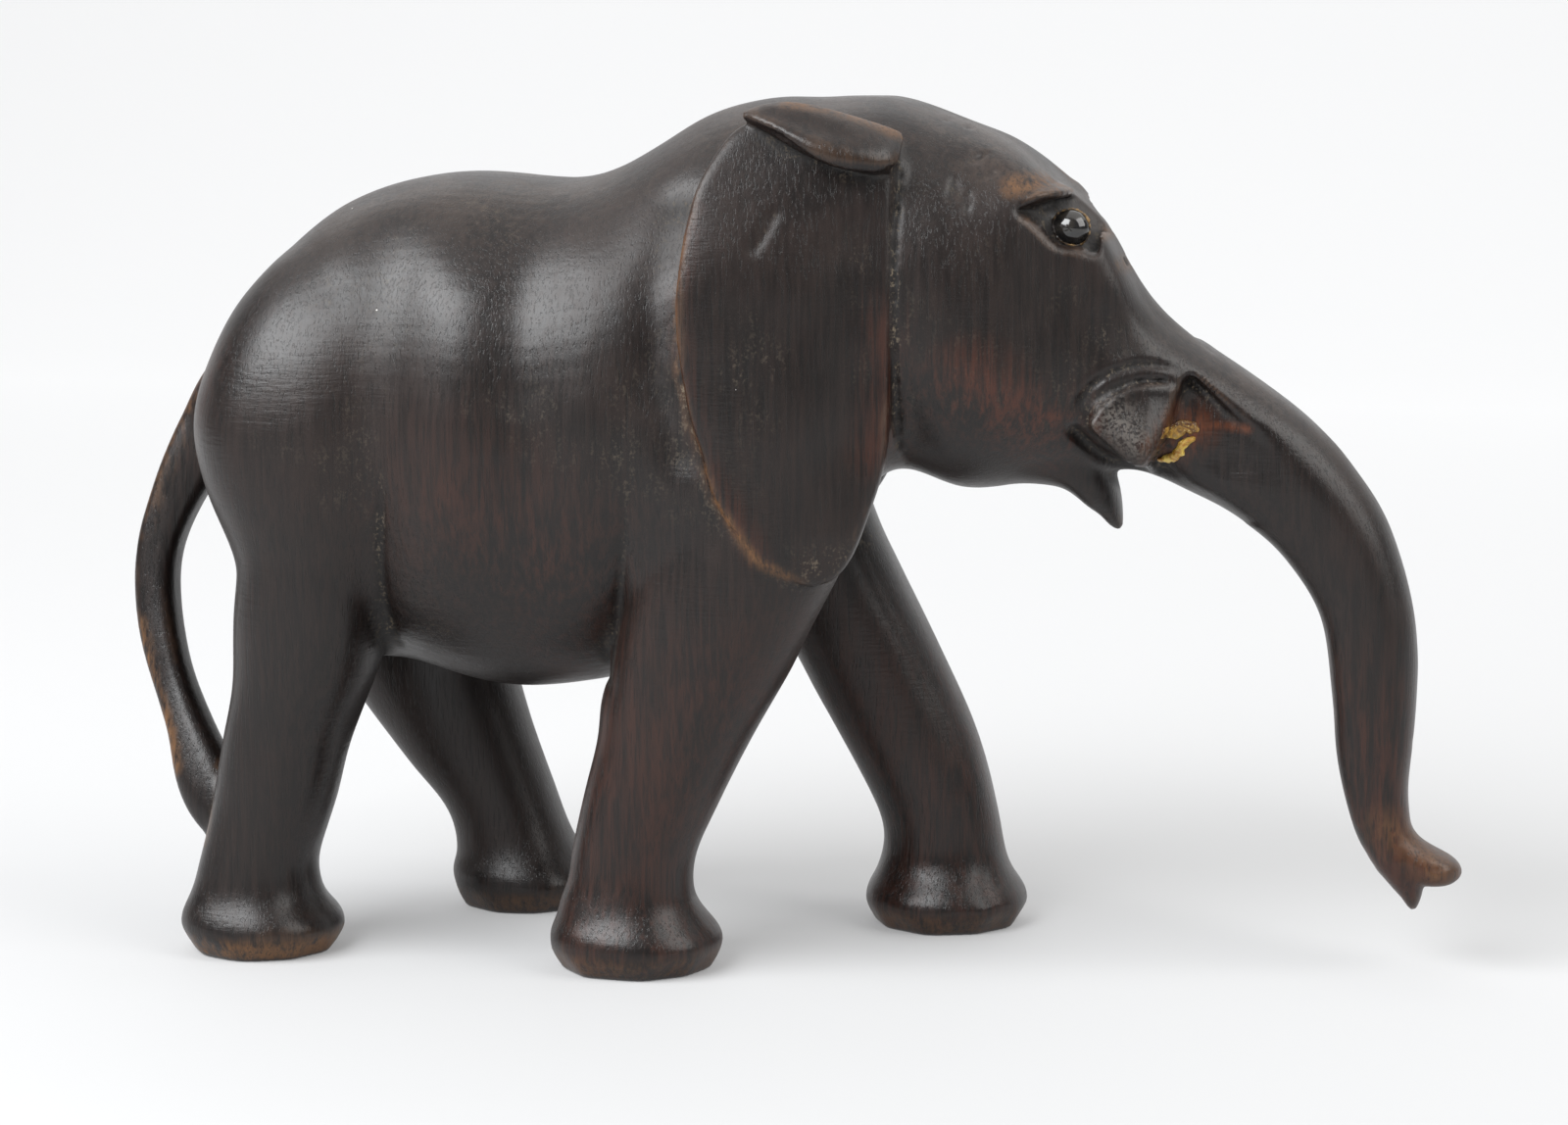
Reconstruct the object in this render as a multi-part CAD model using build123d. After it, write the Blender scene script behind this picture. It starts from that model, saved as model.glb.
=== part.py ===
from build123d import *
import math
import os

# Carved walking elephant with inlaid eye beads.  Millimetres.
# +X towards the trunk, +Y the animal's left, +Z up, soles on z = 0.

# ---- driving dimensions ----------------------------------------------------
X_CENTRE = -0.15          # moves the whole figure so its box is centred in X
EYE_X, EYE_Y, EYE_Z = 47.95, 12.9, 118.05   # centre of the right inlaid bead
EYE_LEFT_BACK, EYE_LEFT_DROP = 1.65, 0.75   # the left bead was set a little lower and further back
EYE_R = 3.0               # bead radius
EYE_BED = 0.55            # thickness of the bedding between bead and socket
EAR_Y_REAR = 37.0         # how far the ear's rear rim stands out
EAR_SLOPE = 0.235         # the ear runs in towards its front edge
EAR_INNER = 17.0          # the ear's root inside the shoulder
EAR_BEVEL = 1.6           # rounded rim of the ear
GLUE_Y = 13.7             # height of the dried glue patch beside the trunk root
SECTION_POINTS = 26       # points around each rib

# Ribs: outer/top point (x, z), inner/bottom point (x, z), y centre, half width,
# roundness exponent.  Cross-sections are superellipses.
SPINE = [
    (-98.6, 84.5, -98.4, 79.0, 0, 2.0, 2.0),
    (-98.2, 88.0, -97.4, 73.0, 0, 9.0, 2.0),
    (-95.0, 95.0, -92.6, 65.4, 0, 18.0, 2.1),
    (-90.0, 103.0, -87.4, 56.4, 0, 25.0, 2.2),
    (-83.2, 111.4, -80.8, 50.0, 0, 30.2, 2.3),
    (-74.0, 119.5, -72.0, 46.5, 0, 33.5, 2.3),
    (-62.0, 123.7, -61.0, 45.8, 0, 33.8, 2.3),
    (-50.0, 125.1, -50.0, 43.2, 0, 35.2, 2.3),
    (-40.0, 124.4, -40.0, 42.2, 0, 35.2, 2.3),
    (-31.0, 124.7, -30.5, 43.6, 0, 35.0, 2.3),
    (-21.0, 128.9, -20.0, 46.8, 0, 34.2, 2.3),
    (-11.0, 134.7, -10.0, 53.0, 0, 33.2, 2.25),
    (-1.0, 137.4, 0.0, 62.5, 0, 31.6, 2.2),
    (9.0, 137.7, 9.5, 74.0, 0, 29.4, 2.2),
    (18.5, 137.6, 19.6, 78.8, 0, 27.2, 2.2),
    (28.0, 134.8, 29.5, 76.4, 0, 25.6, 2.3),
    (37.5, 130.4, 39.0, 77.0, 0, 22.6, 3.0),
    (45.8, 123.7, 48.0, 78.0, 0, 18.8, 4.4),
    (52.2, 116.8, 55.5, 79.2, 0, 16.2, 4.6),
    (57.0, 109.2, 61.0, 78.2, 0, 14.4, 3.4),
    (63.6, 102.2, 66.0, 76.2, 0, 13.0, 2.5),
    (71.5, 96.7, 70.6, 73.9, 0, 11.6, 2.5),
    (79.5, 91.2, 75.4, 71.0, 0, 10.6, 2.6),
    (87.5, 84.3, 80.0, 67.0, 0, 9.7, 2.6),
    (94.4, 75.8, 84.2, 61.6, 0, 8.9, 2.6),
    (98.8, 65.6, 87.2, 55.6, 0, 8.2, 2.6),
    (101.0, 55.0, 88.6, 48.0, 0, 7.7, 2.6),
    (101.3, 45.0, 89.3, 40.5, 0, 7.2, 2.6),
    (100.7, 36.5, 90.0, 33.8, 0, 6.7, 2.6),
    (99.9, 29.8, 91.4, 26.8, 0, 6.2, 2.6),
    (100.6, 24.0, 94.0, 20.0, 0, 5.8, 2.5),
    (102.6, 20.4, 97.4, 15.2, 0, 5.6, 2.5),
    (103.8, 18.6, 99.6, 13.6, 0, 4.6, 2.2),
]
SPINE_CUTS = (0, 19, 23, 27, 32)   # the spine is lofted in stretches that share a rib
# Upper finger and lower lobe of the trunk tip.
TRUNK_FINGER = [
    (101.4, 22.6, 99.6, 17.2, 0, 4.6, 2.2),
    (104.6, 20.6, 102.2, 15.8, 0, 5.4, 2.3),
    (107.4, 19.2, 105.2, 15.0, 0, 4.6, 2.2),
    (109.5, 17.6, 108.4, 15.6, 0, 2.2, 2.0),
]
TRUNK_LOBE = [
    (101.6, 19.6, 95.8, 17.6, 0, 4.8, 2.2),
    (102.8, 15.6, 97.4, 14.2, 0, 4.9, 2.2),
    (103.4, 12.6, 99.6, 11.6, 0, 3.6, 2.2),
    (103.0, 10.6, 101.4, 10.2, 0, 1.6, 2.0),
]
JAW = [
    (38.0, 90.0, 38.0, 77.6, 0, 13.0, 2.2),
    (43.0, 88.0, 43.6, 77.0, 0, 12.4, 2.2),
    (48.6, 84.5, 47.4, 75.4, 0, 10.6, 2.2),
    (52.6, 80.4, 50.0, 73.2, 0, 8.0, 2.2),
    (54.2, 76.0, 52.0, 71.4, 0, 5.0, 2.2),
    (54.6, 72.2, 53.4, 70.4, 0, 2.2, 2.2),
    (54.4, 70.6, 54.0, 70.0, 0, 0.8, 2.0),
]
TAIL = [
    (-88.0, 96.0, -84.0, 88.0, 0.0, 2.0, 2.4),
    (-93.5, 95.0, -88.0, 85.0, -0.2, 3.4, 2.6),
    (-98.4, 91.4, -91.6, 80.0, -0.5, 4.2, 2.8),
    (-104.2, 80.4, -96.0, 73.2, -1.4, 4.3, 3.0),
    (-107.8, 71.4, -99.6, 67.4, -2.6, 4.2, 3.0),
    (-109.5, 63.6, -101.6, 61.6, -4.0, 4.1, 3.0),
    (-109.7, 55.4, -102.2, 55.6, -5.4, 4.0, 3.0),
    (-108.4, 47.6, -101.1, 49.0, -7.2, 3.9, 3.0),
    (-106.0, 40.4, -98.6, 42.4, -9.2, 3.9, 3.0),
    (-103.2, 33.6, -94.6, 35.6, -11.2, 4.0, 2.8),
    (-101.0, 27.0, -90.8, 29.0, -13.0, 4.0, 2.6),
    (-97.6, 20.6, -87.0, 23.4, -14.6, 3.6, 2.4),
    (-91.0, 15.0, -84.0, 18.4, -16.4, 2.6, 2.2),
]
# Legs: z, x centre, fore-aft width, half width across, y centre (right side).
LEG_EXP = 2.2
LEG_HIND_RIGHT = [
    (0.0, -82.0, 22.4, 11.2, 20.5), (1.0, -82.1, 24.2, 12.1, 20.5), (4.4, -82.5, 26.0, 13.0, 20.5),
    (7.2, -83.0, 25.0, 12.4, 20.5), (10.0, -83.4, 21.8, 11.0, 20.5), (14.0, -82.8, 19.9, 10.2, 20.5),
    (18.0, -81.9, 19.8, 10.1, 20.4), (25.0, -79.9, 20.7, 10.4, 20.3), (35.0, -77.6, 21.4, 11.2, 20.1),
    (45.0, -74.5, 23.6, 12.6, 20.0), (55.0, -73.4, 26.2, 14.2, 19.6), (66.0, -74.4, 28.0, 15.4, 19.0),
    (80.0, -75.5, 29.0, 16.2, 18.0), (93.0, -76.0, 25.0, 14.5, 17.5), (103.0, -76.0, 14.0, 8.0, 17.0),
]
LEG_FORE_RIGHT = [
    (0.0, -19.8, 23.0, 11.4, 20.5), (1.0, -19.8, 25.0, 12.3, 20.5), (4.4, -19.9, 27.5, 13.3, 20.5),
    (7.2, -20.6, 25.2, 12.5, 20.5), (10.0, -21.2, 22.4, 11.2, 20.5), (13.5, -21.2, 20.1, 10.4, 20.5),
    (17.5, -20.5, 19.6, 10.2, 20.4), (23.0, -19.0, 20.5, 10.5, 20.3), (30.0, -16.6, 22.4, 11.0, 20.2),
    (38.0, -13.7, 24.6, 11.8, 20.0), (47.0, -10.4, 28.8, 12.9, 19.8), (56.0, -7.5, 32.4, 13.9, 19.6),
    (66.0, -4.2, 35.8, 14.8, 19.0), (78.0, -1.0, 36.0, 15.4, 18.0), (92.0, 2.0, 30.0, 14.5, 17.5),
    (104.0, 3.0, 18.0, 9.0, 17.0),
]
LEG_FORE_LEFT = [
    (0.0, 23.8, 23.0, 11.6, 20.3), (1.0, 23.8, 24.8, 12.4, 20.3), (4.4, 23.7, 26.8, 13.3, 20.3),
    (7.0, 23.3, 24.4, 12.2, 20.5), (9.5, 23.2, 21.8, 11.0, 20.5), (13.0, 23.0, 19.9, 10.2, 20.5),
    (17.0, 22.5, 19.4, 10.1, 20.4), (22.0, 20.9, 20.2, 10.4, 20.3), (31.0, 17.3, 22.5, 11.0, 20.1),
    (41.0, 12.6, 24.0, 11.8, 20.0), (51.0, 7.3, 24.0, 12.6, 19.8), (61.0, 1.4, 25.6, 13.4, 19.4),
    (72.0, -3.2, 27.0, 14.0, 18.6), (85.0, -5.5, 26.0, 13.4, 17.8), (98.0, -4.5, 17.0, 9.6, 17.2),
]
LEG_HIND_LEFT = [
    (0.0, -49.1, 21.6, 10.8, 20.5), (1.0, -49.1, 23.2, 11.7, 20.5), (4.4, -49.2, 25.0, 12.6, 20.5),
    (7.0, -50.5, 24.2, 12.0, 20.5), (9.5, -51.3, 21.8, 10.9, 20.5), (13.0, -52.2, 20.0, 10.2, 20.5),
    (17.0, -53.6, 20.0, 10.1, 20.4), (23.0, -56.8, 22.6, 10.5, 20.3), (30.0, -60.7, 26.0, 11.2, 20.2),
    (38.0, -64.8, 29.2, 12.2, 20.1), (46.0, -68.2, 31.0, 13.2, 20.0), (56.0, -71.4, 31.6, 14.4, 19.6),
    (68.0, -73.6, 31.0, 15.4, 19.0), (81.0, -75.2, 29.0, 16.0, 18.0), (93.0, -76.0, 24.0, 14.0, 17.5),
    (102.0, -76.0, 13.0, 8.0, 17.0),
]
# Ear outline (x, z) from its top rear corner, down the rear rim, up the front.
EAR = [
    (1.5, 133.5), (-4.6, 127.6), (-8.3, 119.0), (-10.0, 110.0), (-10.2, 101.0), (-8.8, 91.5),
    (-6.0, 82.0), (-2.4, 74.0), (2.6, 67.6), (8.6, 63.6), (12.8, 63.4), (16.6, 67.6),
    (19.6, 74.6), (22.6, 82.4), (24.6, 92.0), (25.0, 104.0), (25.0, 115.0), (24.6, 125.0),
    (17.5, 130.5), (9.5, 133.5),
]
# The ear's upper edge rolls outward in a thick fold.
EAR_FOLD = [
    (-0.6, 136.6, -0.2, 134.6, 27.5, 1.4, 2.0),
    (4.2, 137.5, 5.0, 131.2, 28.6, 4.2, 2.1),
    (10.4, 137.2, 11.0, 128.8, 29.4, 5.6, 2.2),
    (17.0, 134.2, 17.2, 127.0, 29.0, 5.4, 2.2),
    (23.0, 129.6, 22.4, 125.0, 27.0, 3.8, 2.1),
    (26.0, 126.8, 25.4, 124.6, 24.6, 1.6, 2.0),
]
# Lip flap over the empty tusk seat (x, z).
FLAP = [(49.4, 91.0), (52.2, 94.6), (58.0, 96.6), (64.4, 95.8), (65.0, 91.6), (62.6, 85.0), (59.6, 80.8), (55.2, 83.0), (51.0, 86.8)]
FLAP_Y = 14.6
# Dried glue at the tusk seat (x, z).
GLUE = [(62.6, 87.6), (64.8, 89.4), (68.2, 89.0), (68.8, 86.6), (67.2, 84.6), (65.0, 83.0), (63.0, 81.4), (61.8, 82.8), (62.8, 85.0)]


# ---- helpers ---------------------------------------------------------------
def rib_face(ax, az, bx, bz, yc, w, n):
    """One cross-section, a superellipse between two points of the XZ plane."""
    pts = []
    for i in range(SECTION_POINTS):
        t = 2 * math.pi * i / SECTION_POINTS
        c, s = math.cos(t), math.sin(t)
        u = math.copysign(abs(c) ** (2 / n), c)
        v = math.copysign(abs(s) ** (2 / n), s)
        pts.append((
            (ax + bx) / 2 + u * (ax - bx) / 2,
            yc + w * v,
            (az + bz) / 2 + u * (az - bz) / 2,
        ))
    return Face(Wire([Edge.make_spline([Vector(*p) for p in pts], periodic=True)]))


def rib_loft(ribs, side=1):
    return Solid(loft([rib_face(r[0], r[1], r[2], r[3], side * r[4], r[5], r[6]) for r in ribs]).wrapped)


def leg_loft(rows, side):
    ribs = [(c + w / 2, z, c - w / 2, z, side * y, hw, LEG_EXP) for z, c, w, hw, y in rows]
    return rib_loft(ribs)


def outline_face(pts, y_of_x, side, grow=0.0):
    """Closed smooth outline laid on an upright plane, grown or shrunk about its middle."""
    cx = sum(p[0] for p in pts) / len(pts)
    cz = sum(p[1] for p in pts) / len(pts)
    out = []
    for x, z in pts:
        d = math.hypot(x - cx, z - cz)
        k = 1 + grow / d
        xx, zz = cx + (x - cx) * k, cz + (z - cz) * k
        out.append(Vector(xx, side * y_of_x(xx), zz))
    return Face(Wire([Edge.make_spline(out, periodic=True)]))


def plate(pts, levels, side):
    """Stack of the same outline at several heights out from the middle plane."""
    return Solid(loft([outline_face(pts, f, side, g) for f, g in levels], ruled=True).wrapped)


def ear(side):
    outer = lambda x: EAR_Y_REAR - EAR_SLOPE * (x + 10)
    blade = plate(EAR, [
        (lambda x: EAR_INNER, -3.0),
        (lambda x: outer(x) - EAR_BEVEL, 0.0),
        (outer, -EAR_BEVEL),
    ], side)
    return blade, rib_loft(EAR_FOLD, side)


def ball(r, side):
    left = side > 0
    # the left sphere's seam is turned to the rear, clear of the socket's rim
    turn = Rot(0, 0, 180 * left)
    return Pos(EYE_X - EYE_LEFT_BACK * left, side * EYE_Y, EYE_Z - EYE_LEFT_DROP * left) * turn * Sphere(r)


# ---- the carved block: one solid, built up rump to trunk --------------------
body = rib_loft(SPINE[SPINE_CUTS[0]:SPINE_CUTS[1] + 1])
body = body + leg_loft(LEG_HIND_RIGHT, -1)
body = body + rib_loft(TAIL)
body = body + leg_loft(LEG_FORE_RIGHT, -1)
body = body + leg_loft(LEG_FORE_LEFT, 1)
body = body + leg_loft(LEG_HIND_LEFT, 1)
for a, b in zip(SPINE_CUTS[1:-1], SPINE_CUTS[2:]):
    body = body + rib_loft(SPINE[a:b + 1])
for ribs in (JAW, TRUNK_FINGER, TRUNK_LOBE):
    body = body + rib_loft(ribs)
for side in (-1, 1):
    blade, fold = ear(side)
    flap = plate(FLAP, [(lambda x: 7.0, -2.0), (lambda x: FLAP_Y - 1.2, 0.0), (lambda x: FLAP_Y, -1.2)], side)
    body = body + blade
    body = body + fold
    body = body + flap

# ---- beads, their bedding and the dried glue -------------------------------
nodes = {}
for side, name in ((-1, "right"), (1, "left")):
    bead = ball(EYE_R, side)
    bed = (body & ball(EYE_R + EYE_BED, side)) - bead
    body = body - ball(EYE_R + EYE_BED, side)
    glue = plate(GLUE, [(lambda x: GLUE_Y - 2.4, 0.0), (lambda x: GLUE_Y - 0.5, 0.0), (lambda x: GLUE_Y, -0.7)], side)
    body = body - glue
    nodes["eye_bead_" + name] = bead
    nodes["eye_bedding_" + name] = bed
    nodes["tusk_glue_" + name] = glue
nodes["carved_body"] = body

os.makedirs("parts", exist_ok=True)
for name, shape in nodes.items():
    shape = Pos(-X_CENTRE, 0, 0) * shape
    bb = shape.bounding_box()
    print(name, "solids", len(shape.solids()), "volume", round(shape.volume, 1),
          "x", round(bb.min.X, 2), round(bb.max.X, 2), "y", round(bb.min.Y, 2), round(bb.max.Y, 2),
          "z", round(bb.min.Z, 2), round(bb.max.Z, 2), "valid", shape.is_valid)
    export_step(shape, "parts/" + name + ".step")
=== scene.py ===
import math

import bpy
import numpy as np
import openvdb as vdb
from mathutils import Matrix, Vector


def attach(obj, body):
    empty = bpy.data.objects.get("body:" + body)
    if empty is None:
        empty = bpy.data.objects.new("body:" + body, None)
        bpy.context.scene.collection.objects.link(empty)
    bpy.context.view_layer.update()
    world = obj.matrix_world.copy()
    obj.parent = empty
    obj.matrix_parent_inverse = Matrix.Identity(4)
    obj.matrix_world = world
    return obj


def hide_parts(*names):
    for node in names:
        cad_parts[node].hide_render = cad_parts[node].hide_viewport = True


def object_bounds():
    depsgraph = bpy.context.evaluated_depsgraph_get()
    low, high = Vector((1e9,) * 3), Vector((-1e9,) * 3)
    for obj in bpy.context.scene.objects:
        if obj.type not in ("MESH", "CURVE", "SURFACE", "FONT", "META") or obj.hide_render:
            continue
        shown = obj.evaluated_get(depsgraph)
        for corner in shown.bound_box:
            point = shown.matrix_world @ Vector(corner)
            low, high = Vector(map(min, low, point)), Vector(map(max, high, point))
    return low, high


# Carved walking elephant.  The carving is worked out in millimetres on a distance
# grid in the CAD frame, the way it is cut: a rough block, then facets, undercuts,
# creases and sockets.  It is meshed once and stands for the CAD block.

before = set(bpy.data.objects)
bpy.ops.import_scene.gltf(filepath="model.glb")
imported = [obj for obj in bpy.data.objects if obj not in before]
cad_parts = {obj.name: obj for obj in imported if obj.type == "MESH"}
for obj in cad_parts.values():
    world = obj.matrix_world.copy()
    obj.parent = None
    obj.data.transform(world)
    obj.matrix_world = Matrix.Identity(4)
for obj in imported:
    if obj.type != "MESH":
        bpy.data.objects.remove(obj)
CAD_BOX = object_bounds()

DX = 0.15                     # the CAD block was centred by this much in X
H = 0.55    # grid step
LO = np.array([-113.0, -41.0, -3.0])
HI = np.array([113.0, 41.0, 142.0])
BAND = 9.0


# ---- small numeric kit -----------------------------------------------------
def spline(t, Y, s):
    """Natural cubic spline through (t, Y), read at s."""
    t = np.asarray(t, float)
    Y = np.asarray(Y, float)
    n = len(t)
    h = np.diff(t)
    A = np.zeros((n, n))
    B = np.zeros((n,) + Y.shape[1:])
    A[0, 0] = A[-1, -1] = 1
    for i in range(1, n - 1):
        A[i, i - 1], A[i, i], A[i, i + 1] = h[i - 1], 2 * (h[i - 1] + h[i]), h[i]
        B[i] = 6 * ((Y[i + 1] - Y[i]) / h[i] - (Y[i] - Y[i - 1]) / h[i - 1])
    M = np.linalg.solve(A, B)
    i = np.clip(np.searchsorted(t, s, side="right") - 1, 0, n - 2)
    a = ((t[i + 1] - s) / h[i])[:, None]
    b = ((s - t[i]) / h[i])[:, None]
    hh = (h[i] ** 2)[:, None]
    return a * Y[i] + b * Y[i + 1] + ((a ** 3 - a) * M[i] + (b ** 3 - b) * M[i + 1]) * hh / 6


def curve(P, n=60, closed=False):
    """Smooth curve through points of any dimension."""
    P = np.array(P, float)
    if closed:
        k = len(P)
        Q = np.concatenate([P[-4:], P, P[:4]])
    else:
        Q = P
    if len(Q) == 2:
        return Q[0] + (Q[1] - Q[0]) * np.linspace(0, 1, n)[:, None]
    d = Q[:, :3] if Q.shape[1] >= 3 else Q
    t = np.concatenate([[0], np.cumsum(np.sqrt(np.linalg.norm(np.diff(d, axis=0), axis=1)) + 1e-6)])
    if closed:
        s = np.linspace(t[4], t[4 + k], n, endpoint=False)
    else:
        s = np.linspace(0, t[-1], n)
    return spline(t, Q, s)


def skin(C, A, B, nA, nB, m, nt=88):
    """Closed mesh through superellipse rings: centre line between the two ends
    of A, half width B.  m places the widest point between the ends."""
    th = np.linspace(0, 2 * math.pi, nt, endpoint=False)
    ct, st = np.cos(th), np.sin(th)
    rings = []
    for c, a, b, na, nb, mm in zip(C, A, B, nA, nB, m):
        n = np.where(ct > 0, na, nb)
        cu = np.sign(ct) * np.abs(ct) ** (2 / n)
        su = np.sign(st) * np.abs(st) ** (2 / n)
        mid = c + a * (1 - 2 * mm)
        u = np.where(cu > 0, cu * 2 * mm, cu * 2 * (1 - mm))
        rings.append(mid + u[:, None] * a + su[:, None] * b)
    k = len(rings)
    V = np.concatenate(rings)
    i = np.arange(k - 1)[:, None]
    j = np.arange(nt)[None, :]
    jn = (j + 1) % nt
    Q = np.stack([i * nt + j, i * nt + jn, (i + 1) * nt + jn, (i + 1) * nt + j], -1).reshape(-1, 4)
    a, b = len(V), len(V) + 1
    V = np.concatenate([V, [V[:nt].mean(0)], [V[-nt:].mean(0)]])
    j = np.arange(nt)
    jn = (j + 1) % nt
    T = np.concatenate([
        np.stack([np.full(nt, a), jn, j], 1),
        np.stack([np.full(nt, b), (k - 1) * nt + j, (k - 1) * nt + jn], 1),
    ])
    return V, Q, T


def ribs(rows, step=0.8):
    """Rows: outer x, z, inner x, z, y centre, half width, outer exponent, inner
    exponent, place of the widest point."""
    R = np.array(rows, float)
    c = np.stack([(R[:, 0] + R[:, 2]) / 2, R[:, 4], (R[:, 1] + R[:, 3]) / 2], 1)
    size = np.linalg.norm(R[:, :2] - R[:, 2:4], axis=1)
    seg = np.sqrt((np.diff(c, axis=0) ** 2).sum(1) + 0.25 * np.diff(size) ** 2 + 0.25 * np.diff(R[:, 5]) ** 2)
    t = np.concatenate([[0], np.cumsum(np.maximum(seg, 0.3))])
    D = spline(t, R, np.linspace(0, t[-1], max(10, int(t[-1] / step))))
    D[:, 5] = np.maximum(D[:, 5], 0.1)
    D[:, 6:8] = np.clip(D[:, 6:8], 1.7, 9)
    C = np.stack([(D[:, 0] + D[:, 2]) / 2, D[:, 4], (D[:, 1] + D[:, 3]) / 2], 1)
    A = np.stack([(D[:, 0] - D[:, 2]) / 2, 0 * D[:, 0], (D[:, 1] - D[:, 3]) / 2], 1)
    B = np.stack([0 * D[:, 0], D[:, 5], 0 * D[:, 0]], 1)
    return skin(C, A, B, D[:, 6], D[:, 7], D[:, 8])


def blade3(rows, step=0.5):
    """Rows: first point (3), last point (3), half thickness, exponent."""
    R = np.array(rows, float)
    c = (R[:, :3] + R[:, 3:6]) / 2
    t = np.concatenate([[0], np.cumsum(np.maximum(np.linalg.norm(np.diff(c, axis=0), axis=1), 0.3))])
    D = spline(t, R, np.linspace(0, t[-1], max(10, int(t[-1] / step))))
    C = (D[:, :3] + D[:, 3:6]) / 2
    A = (D[:, :3] - D[:, 3:6]) / 2
    tan = np.gradient(C, axis=0)
    B = np.cross(A, tan)
    B *= (np.maximum(D[:, 6], 0.1) / np.maximum(np.linalg.norm(B, axis=1), 1e-9))[:, None]
    n = np.clip(D[:, 7], 1.7, 6)
    return skin(C, A, B, n, n, np.full(len(C), 0.5), nt=48)


i0 = np.floor(LO / H).astype(int)
NN = np.ceil((HI - LO) / H).astype(int) + 1
GX, GY, GZ = [((i0[k] + np.arange(NN[k])) * H).astype(np.float32) for k in range(3)]
TF = vdb.createLinearTransform(voxelSize=H)


def distance(parts):
    """Signed distance of one closed mesh on the whole grid, clipped at BAND."""
    V, Q, T = parts
    g = vdb.FloatGrid.createLevelSetFromPolygons(
        np.ascontiguousarray(V, np.float32), triangles=np.ascontiguousarray(T, np.uint32),
        quads=np.ascontiguousarray(Q, np.uint32), transform=TF, halfWidth=BAND / H)
    a = np.empty(NN, np.float32)
    g.copyToArray(a, ijk=tuple(int(v) for v in i0))
    return a


def smin(a, b, k):
    h = np.maximum(k - np.abs(a - b), 0) / k
    return np.minimum(a, b) - h * h * k * 0.25


def smax(a, b, k):
    return -smin(-a, -b, k)


def region(lo, hi):
    s = []
    for ax, l, h in zip((GX, GY, GZ), lo, hi):
        s.append(slice(max(int(np.searchsorted(ax, l)), 0), min(int(np.searchsorted(ax, h)), len(ax))))
    sl = tuple(s)
    X = GX[sl[0]][:, None, None]
    Y = GY[sl[1]][None, :, None]
    Z = GZ[sl[2]][None, None, :]
    return sl, X, Y, Z


def chain(X, Y, Z, P, R):
    """Distance to a chain of round cones."""
    P = np.array(P, float)
    R = np.broadcast_to(np.asarray(R, float), (len(P),))
    best = None
    for a, b, ra, rb in zip(P[:-1], P[1:], R[:-1], R[1:]):
        d = b - a
        L2 = max(float(d @ d), 1e-9)
        t = np.clip(((X - a[0]) * d[0] + (Y - a[1]) * d[1] + (Z - a[2]) * d[2]) / L2, 0, 1)
        q = np.sqrt((X - a[0] - t * d[0]) ** 2 + (Y - a[1] - t * d[1]) ** 2 + (Z - a[2] - t * d[2]) ** 2) - (ra + t * (rb - ra))
        best = q if best is None else np.minimum(best, q)
    return best


def line2(X, Z, P):
    """Distance in XZ to an open polyline, and how far along it (0 to 1)."""
    P = np.array(P, float)[:, :2]
    L = np.concatenate([[0], np.cumsum(np.linalg.norm(np.diff(P, axis=0), axis=1))])
    best = np.full(np.broadcast(X, Z).shape, 1e9)
    along = np.zeros(best.shape)
    for i, (a, b) in enumerate(zip(P[:-1], P[1:])):
        d = b - a
        L2 = max(float(d @ d), 1e-9)
        t = np.clip(((X - a[0]) * d[0] + (Z - a[1]) * d[1]) / L2, 0, 1)
        q = np.sqrt((X - a[0] - t * d[0]) ** 2 + (Z - a[1] - t * d[1]) ** 2)
        w = q < best
        best = np.where(w, q, best)
        along = np.where(w, (L[i] + t * (L[i + 1] - L[i])) / L[-1], along)
    return best, along


def poly2(X, Z, P):
    """Signed distance in XZ to a closed polygon, negative inside."""
    P = np.array(P, float)[:, :2]
    shape = np.broadcast(X, Z).shape
    d = np.full(shape, 1e9)
    s = np.ones(shape)
    for i in range(len(P)):
        a, b = P[i], P[i - 1]
        e = b - a
        wx, wz = X - a[0], Z - a[1]
        t = np.clip((wx * e[0] + wz * e[1]) / max(e @ e, 1e-12), 0, 1)
        d = np.minimum(d, (wx - e[0] * t) ** 2 + (wz - e[1] * t) ** 2)
        c1, c2, c3 = Z >= a[1], Z < b[1], e[0] * wz > e[1] * wx
        s = np.where((c1 & c2 & c3) | (~c1 & ~c2 & ~c3), -s, s)
    return s * np.sqrt(d)


def step(x, a, b):
    t = np.clip((x - a) / (b - a), 0, 1)
    return t * t * (3 - 2 * t)


def bump(x, w):
    return np.exp(-(x / w) ** 2)


def lattice(P, wave, seed):
    """Smooth value noise in -1..1 at points P (n, 3)."""
    rng = np.random.default_rng(seed)
    T = rng.uniform(-1, 1, (32, 32, 32))
    q = P / wave
    i = np.floor(q).astype(int)
    f = q - i
    f = f * f * (3 - 2 * f)
    out = 0
    for a in (0, 1):
        for b in (0, 1):
            for c in (0, 1):
                w = (f[:, 0] if a else 1 - f[:, 0]) * (f[:, 1] if b else 1 - f[:, 1]) * (f[:, 2] if c else 1 - f[:, 2])
                out = out + w * T[(i[:, 0] + a) % 32, (i[:, 1] + b) % 32, (i[:, 2] + c) % 32]
    return out


# ---- the rough block -------------------------------------------------------
def leg(rows, e=2.3):
    return [(c + w / 2, z, c - w / 2, z, yc, hw, e, e, .5) for z, c, w, yc, hw in rows]


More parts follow.
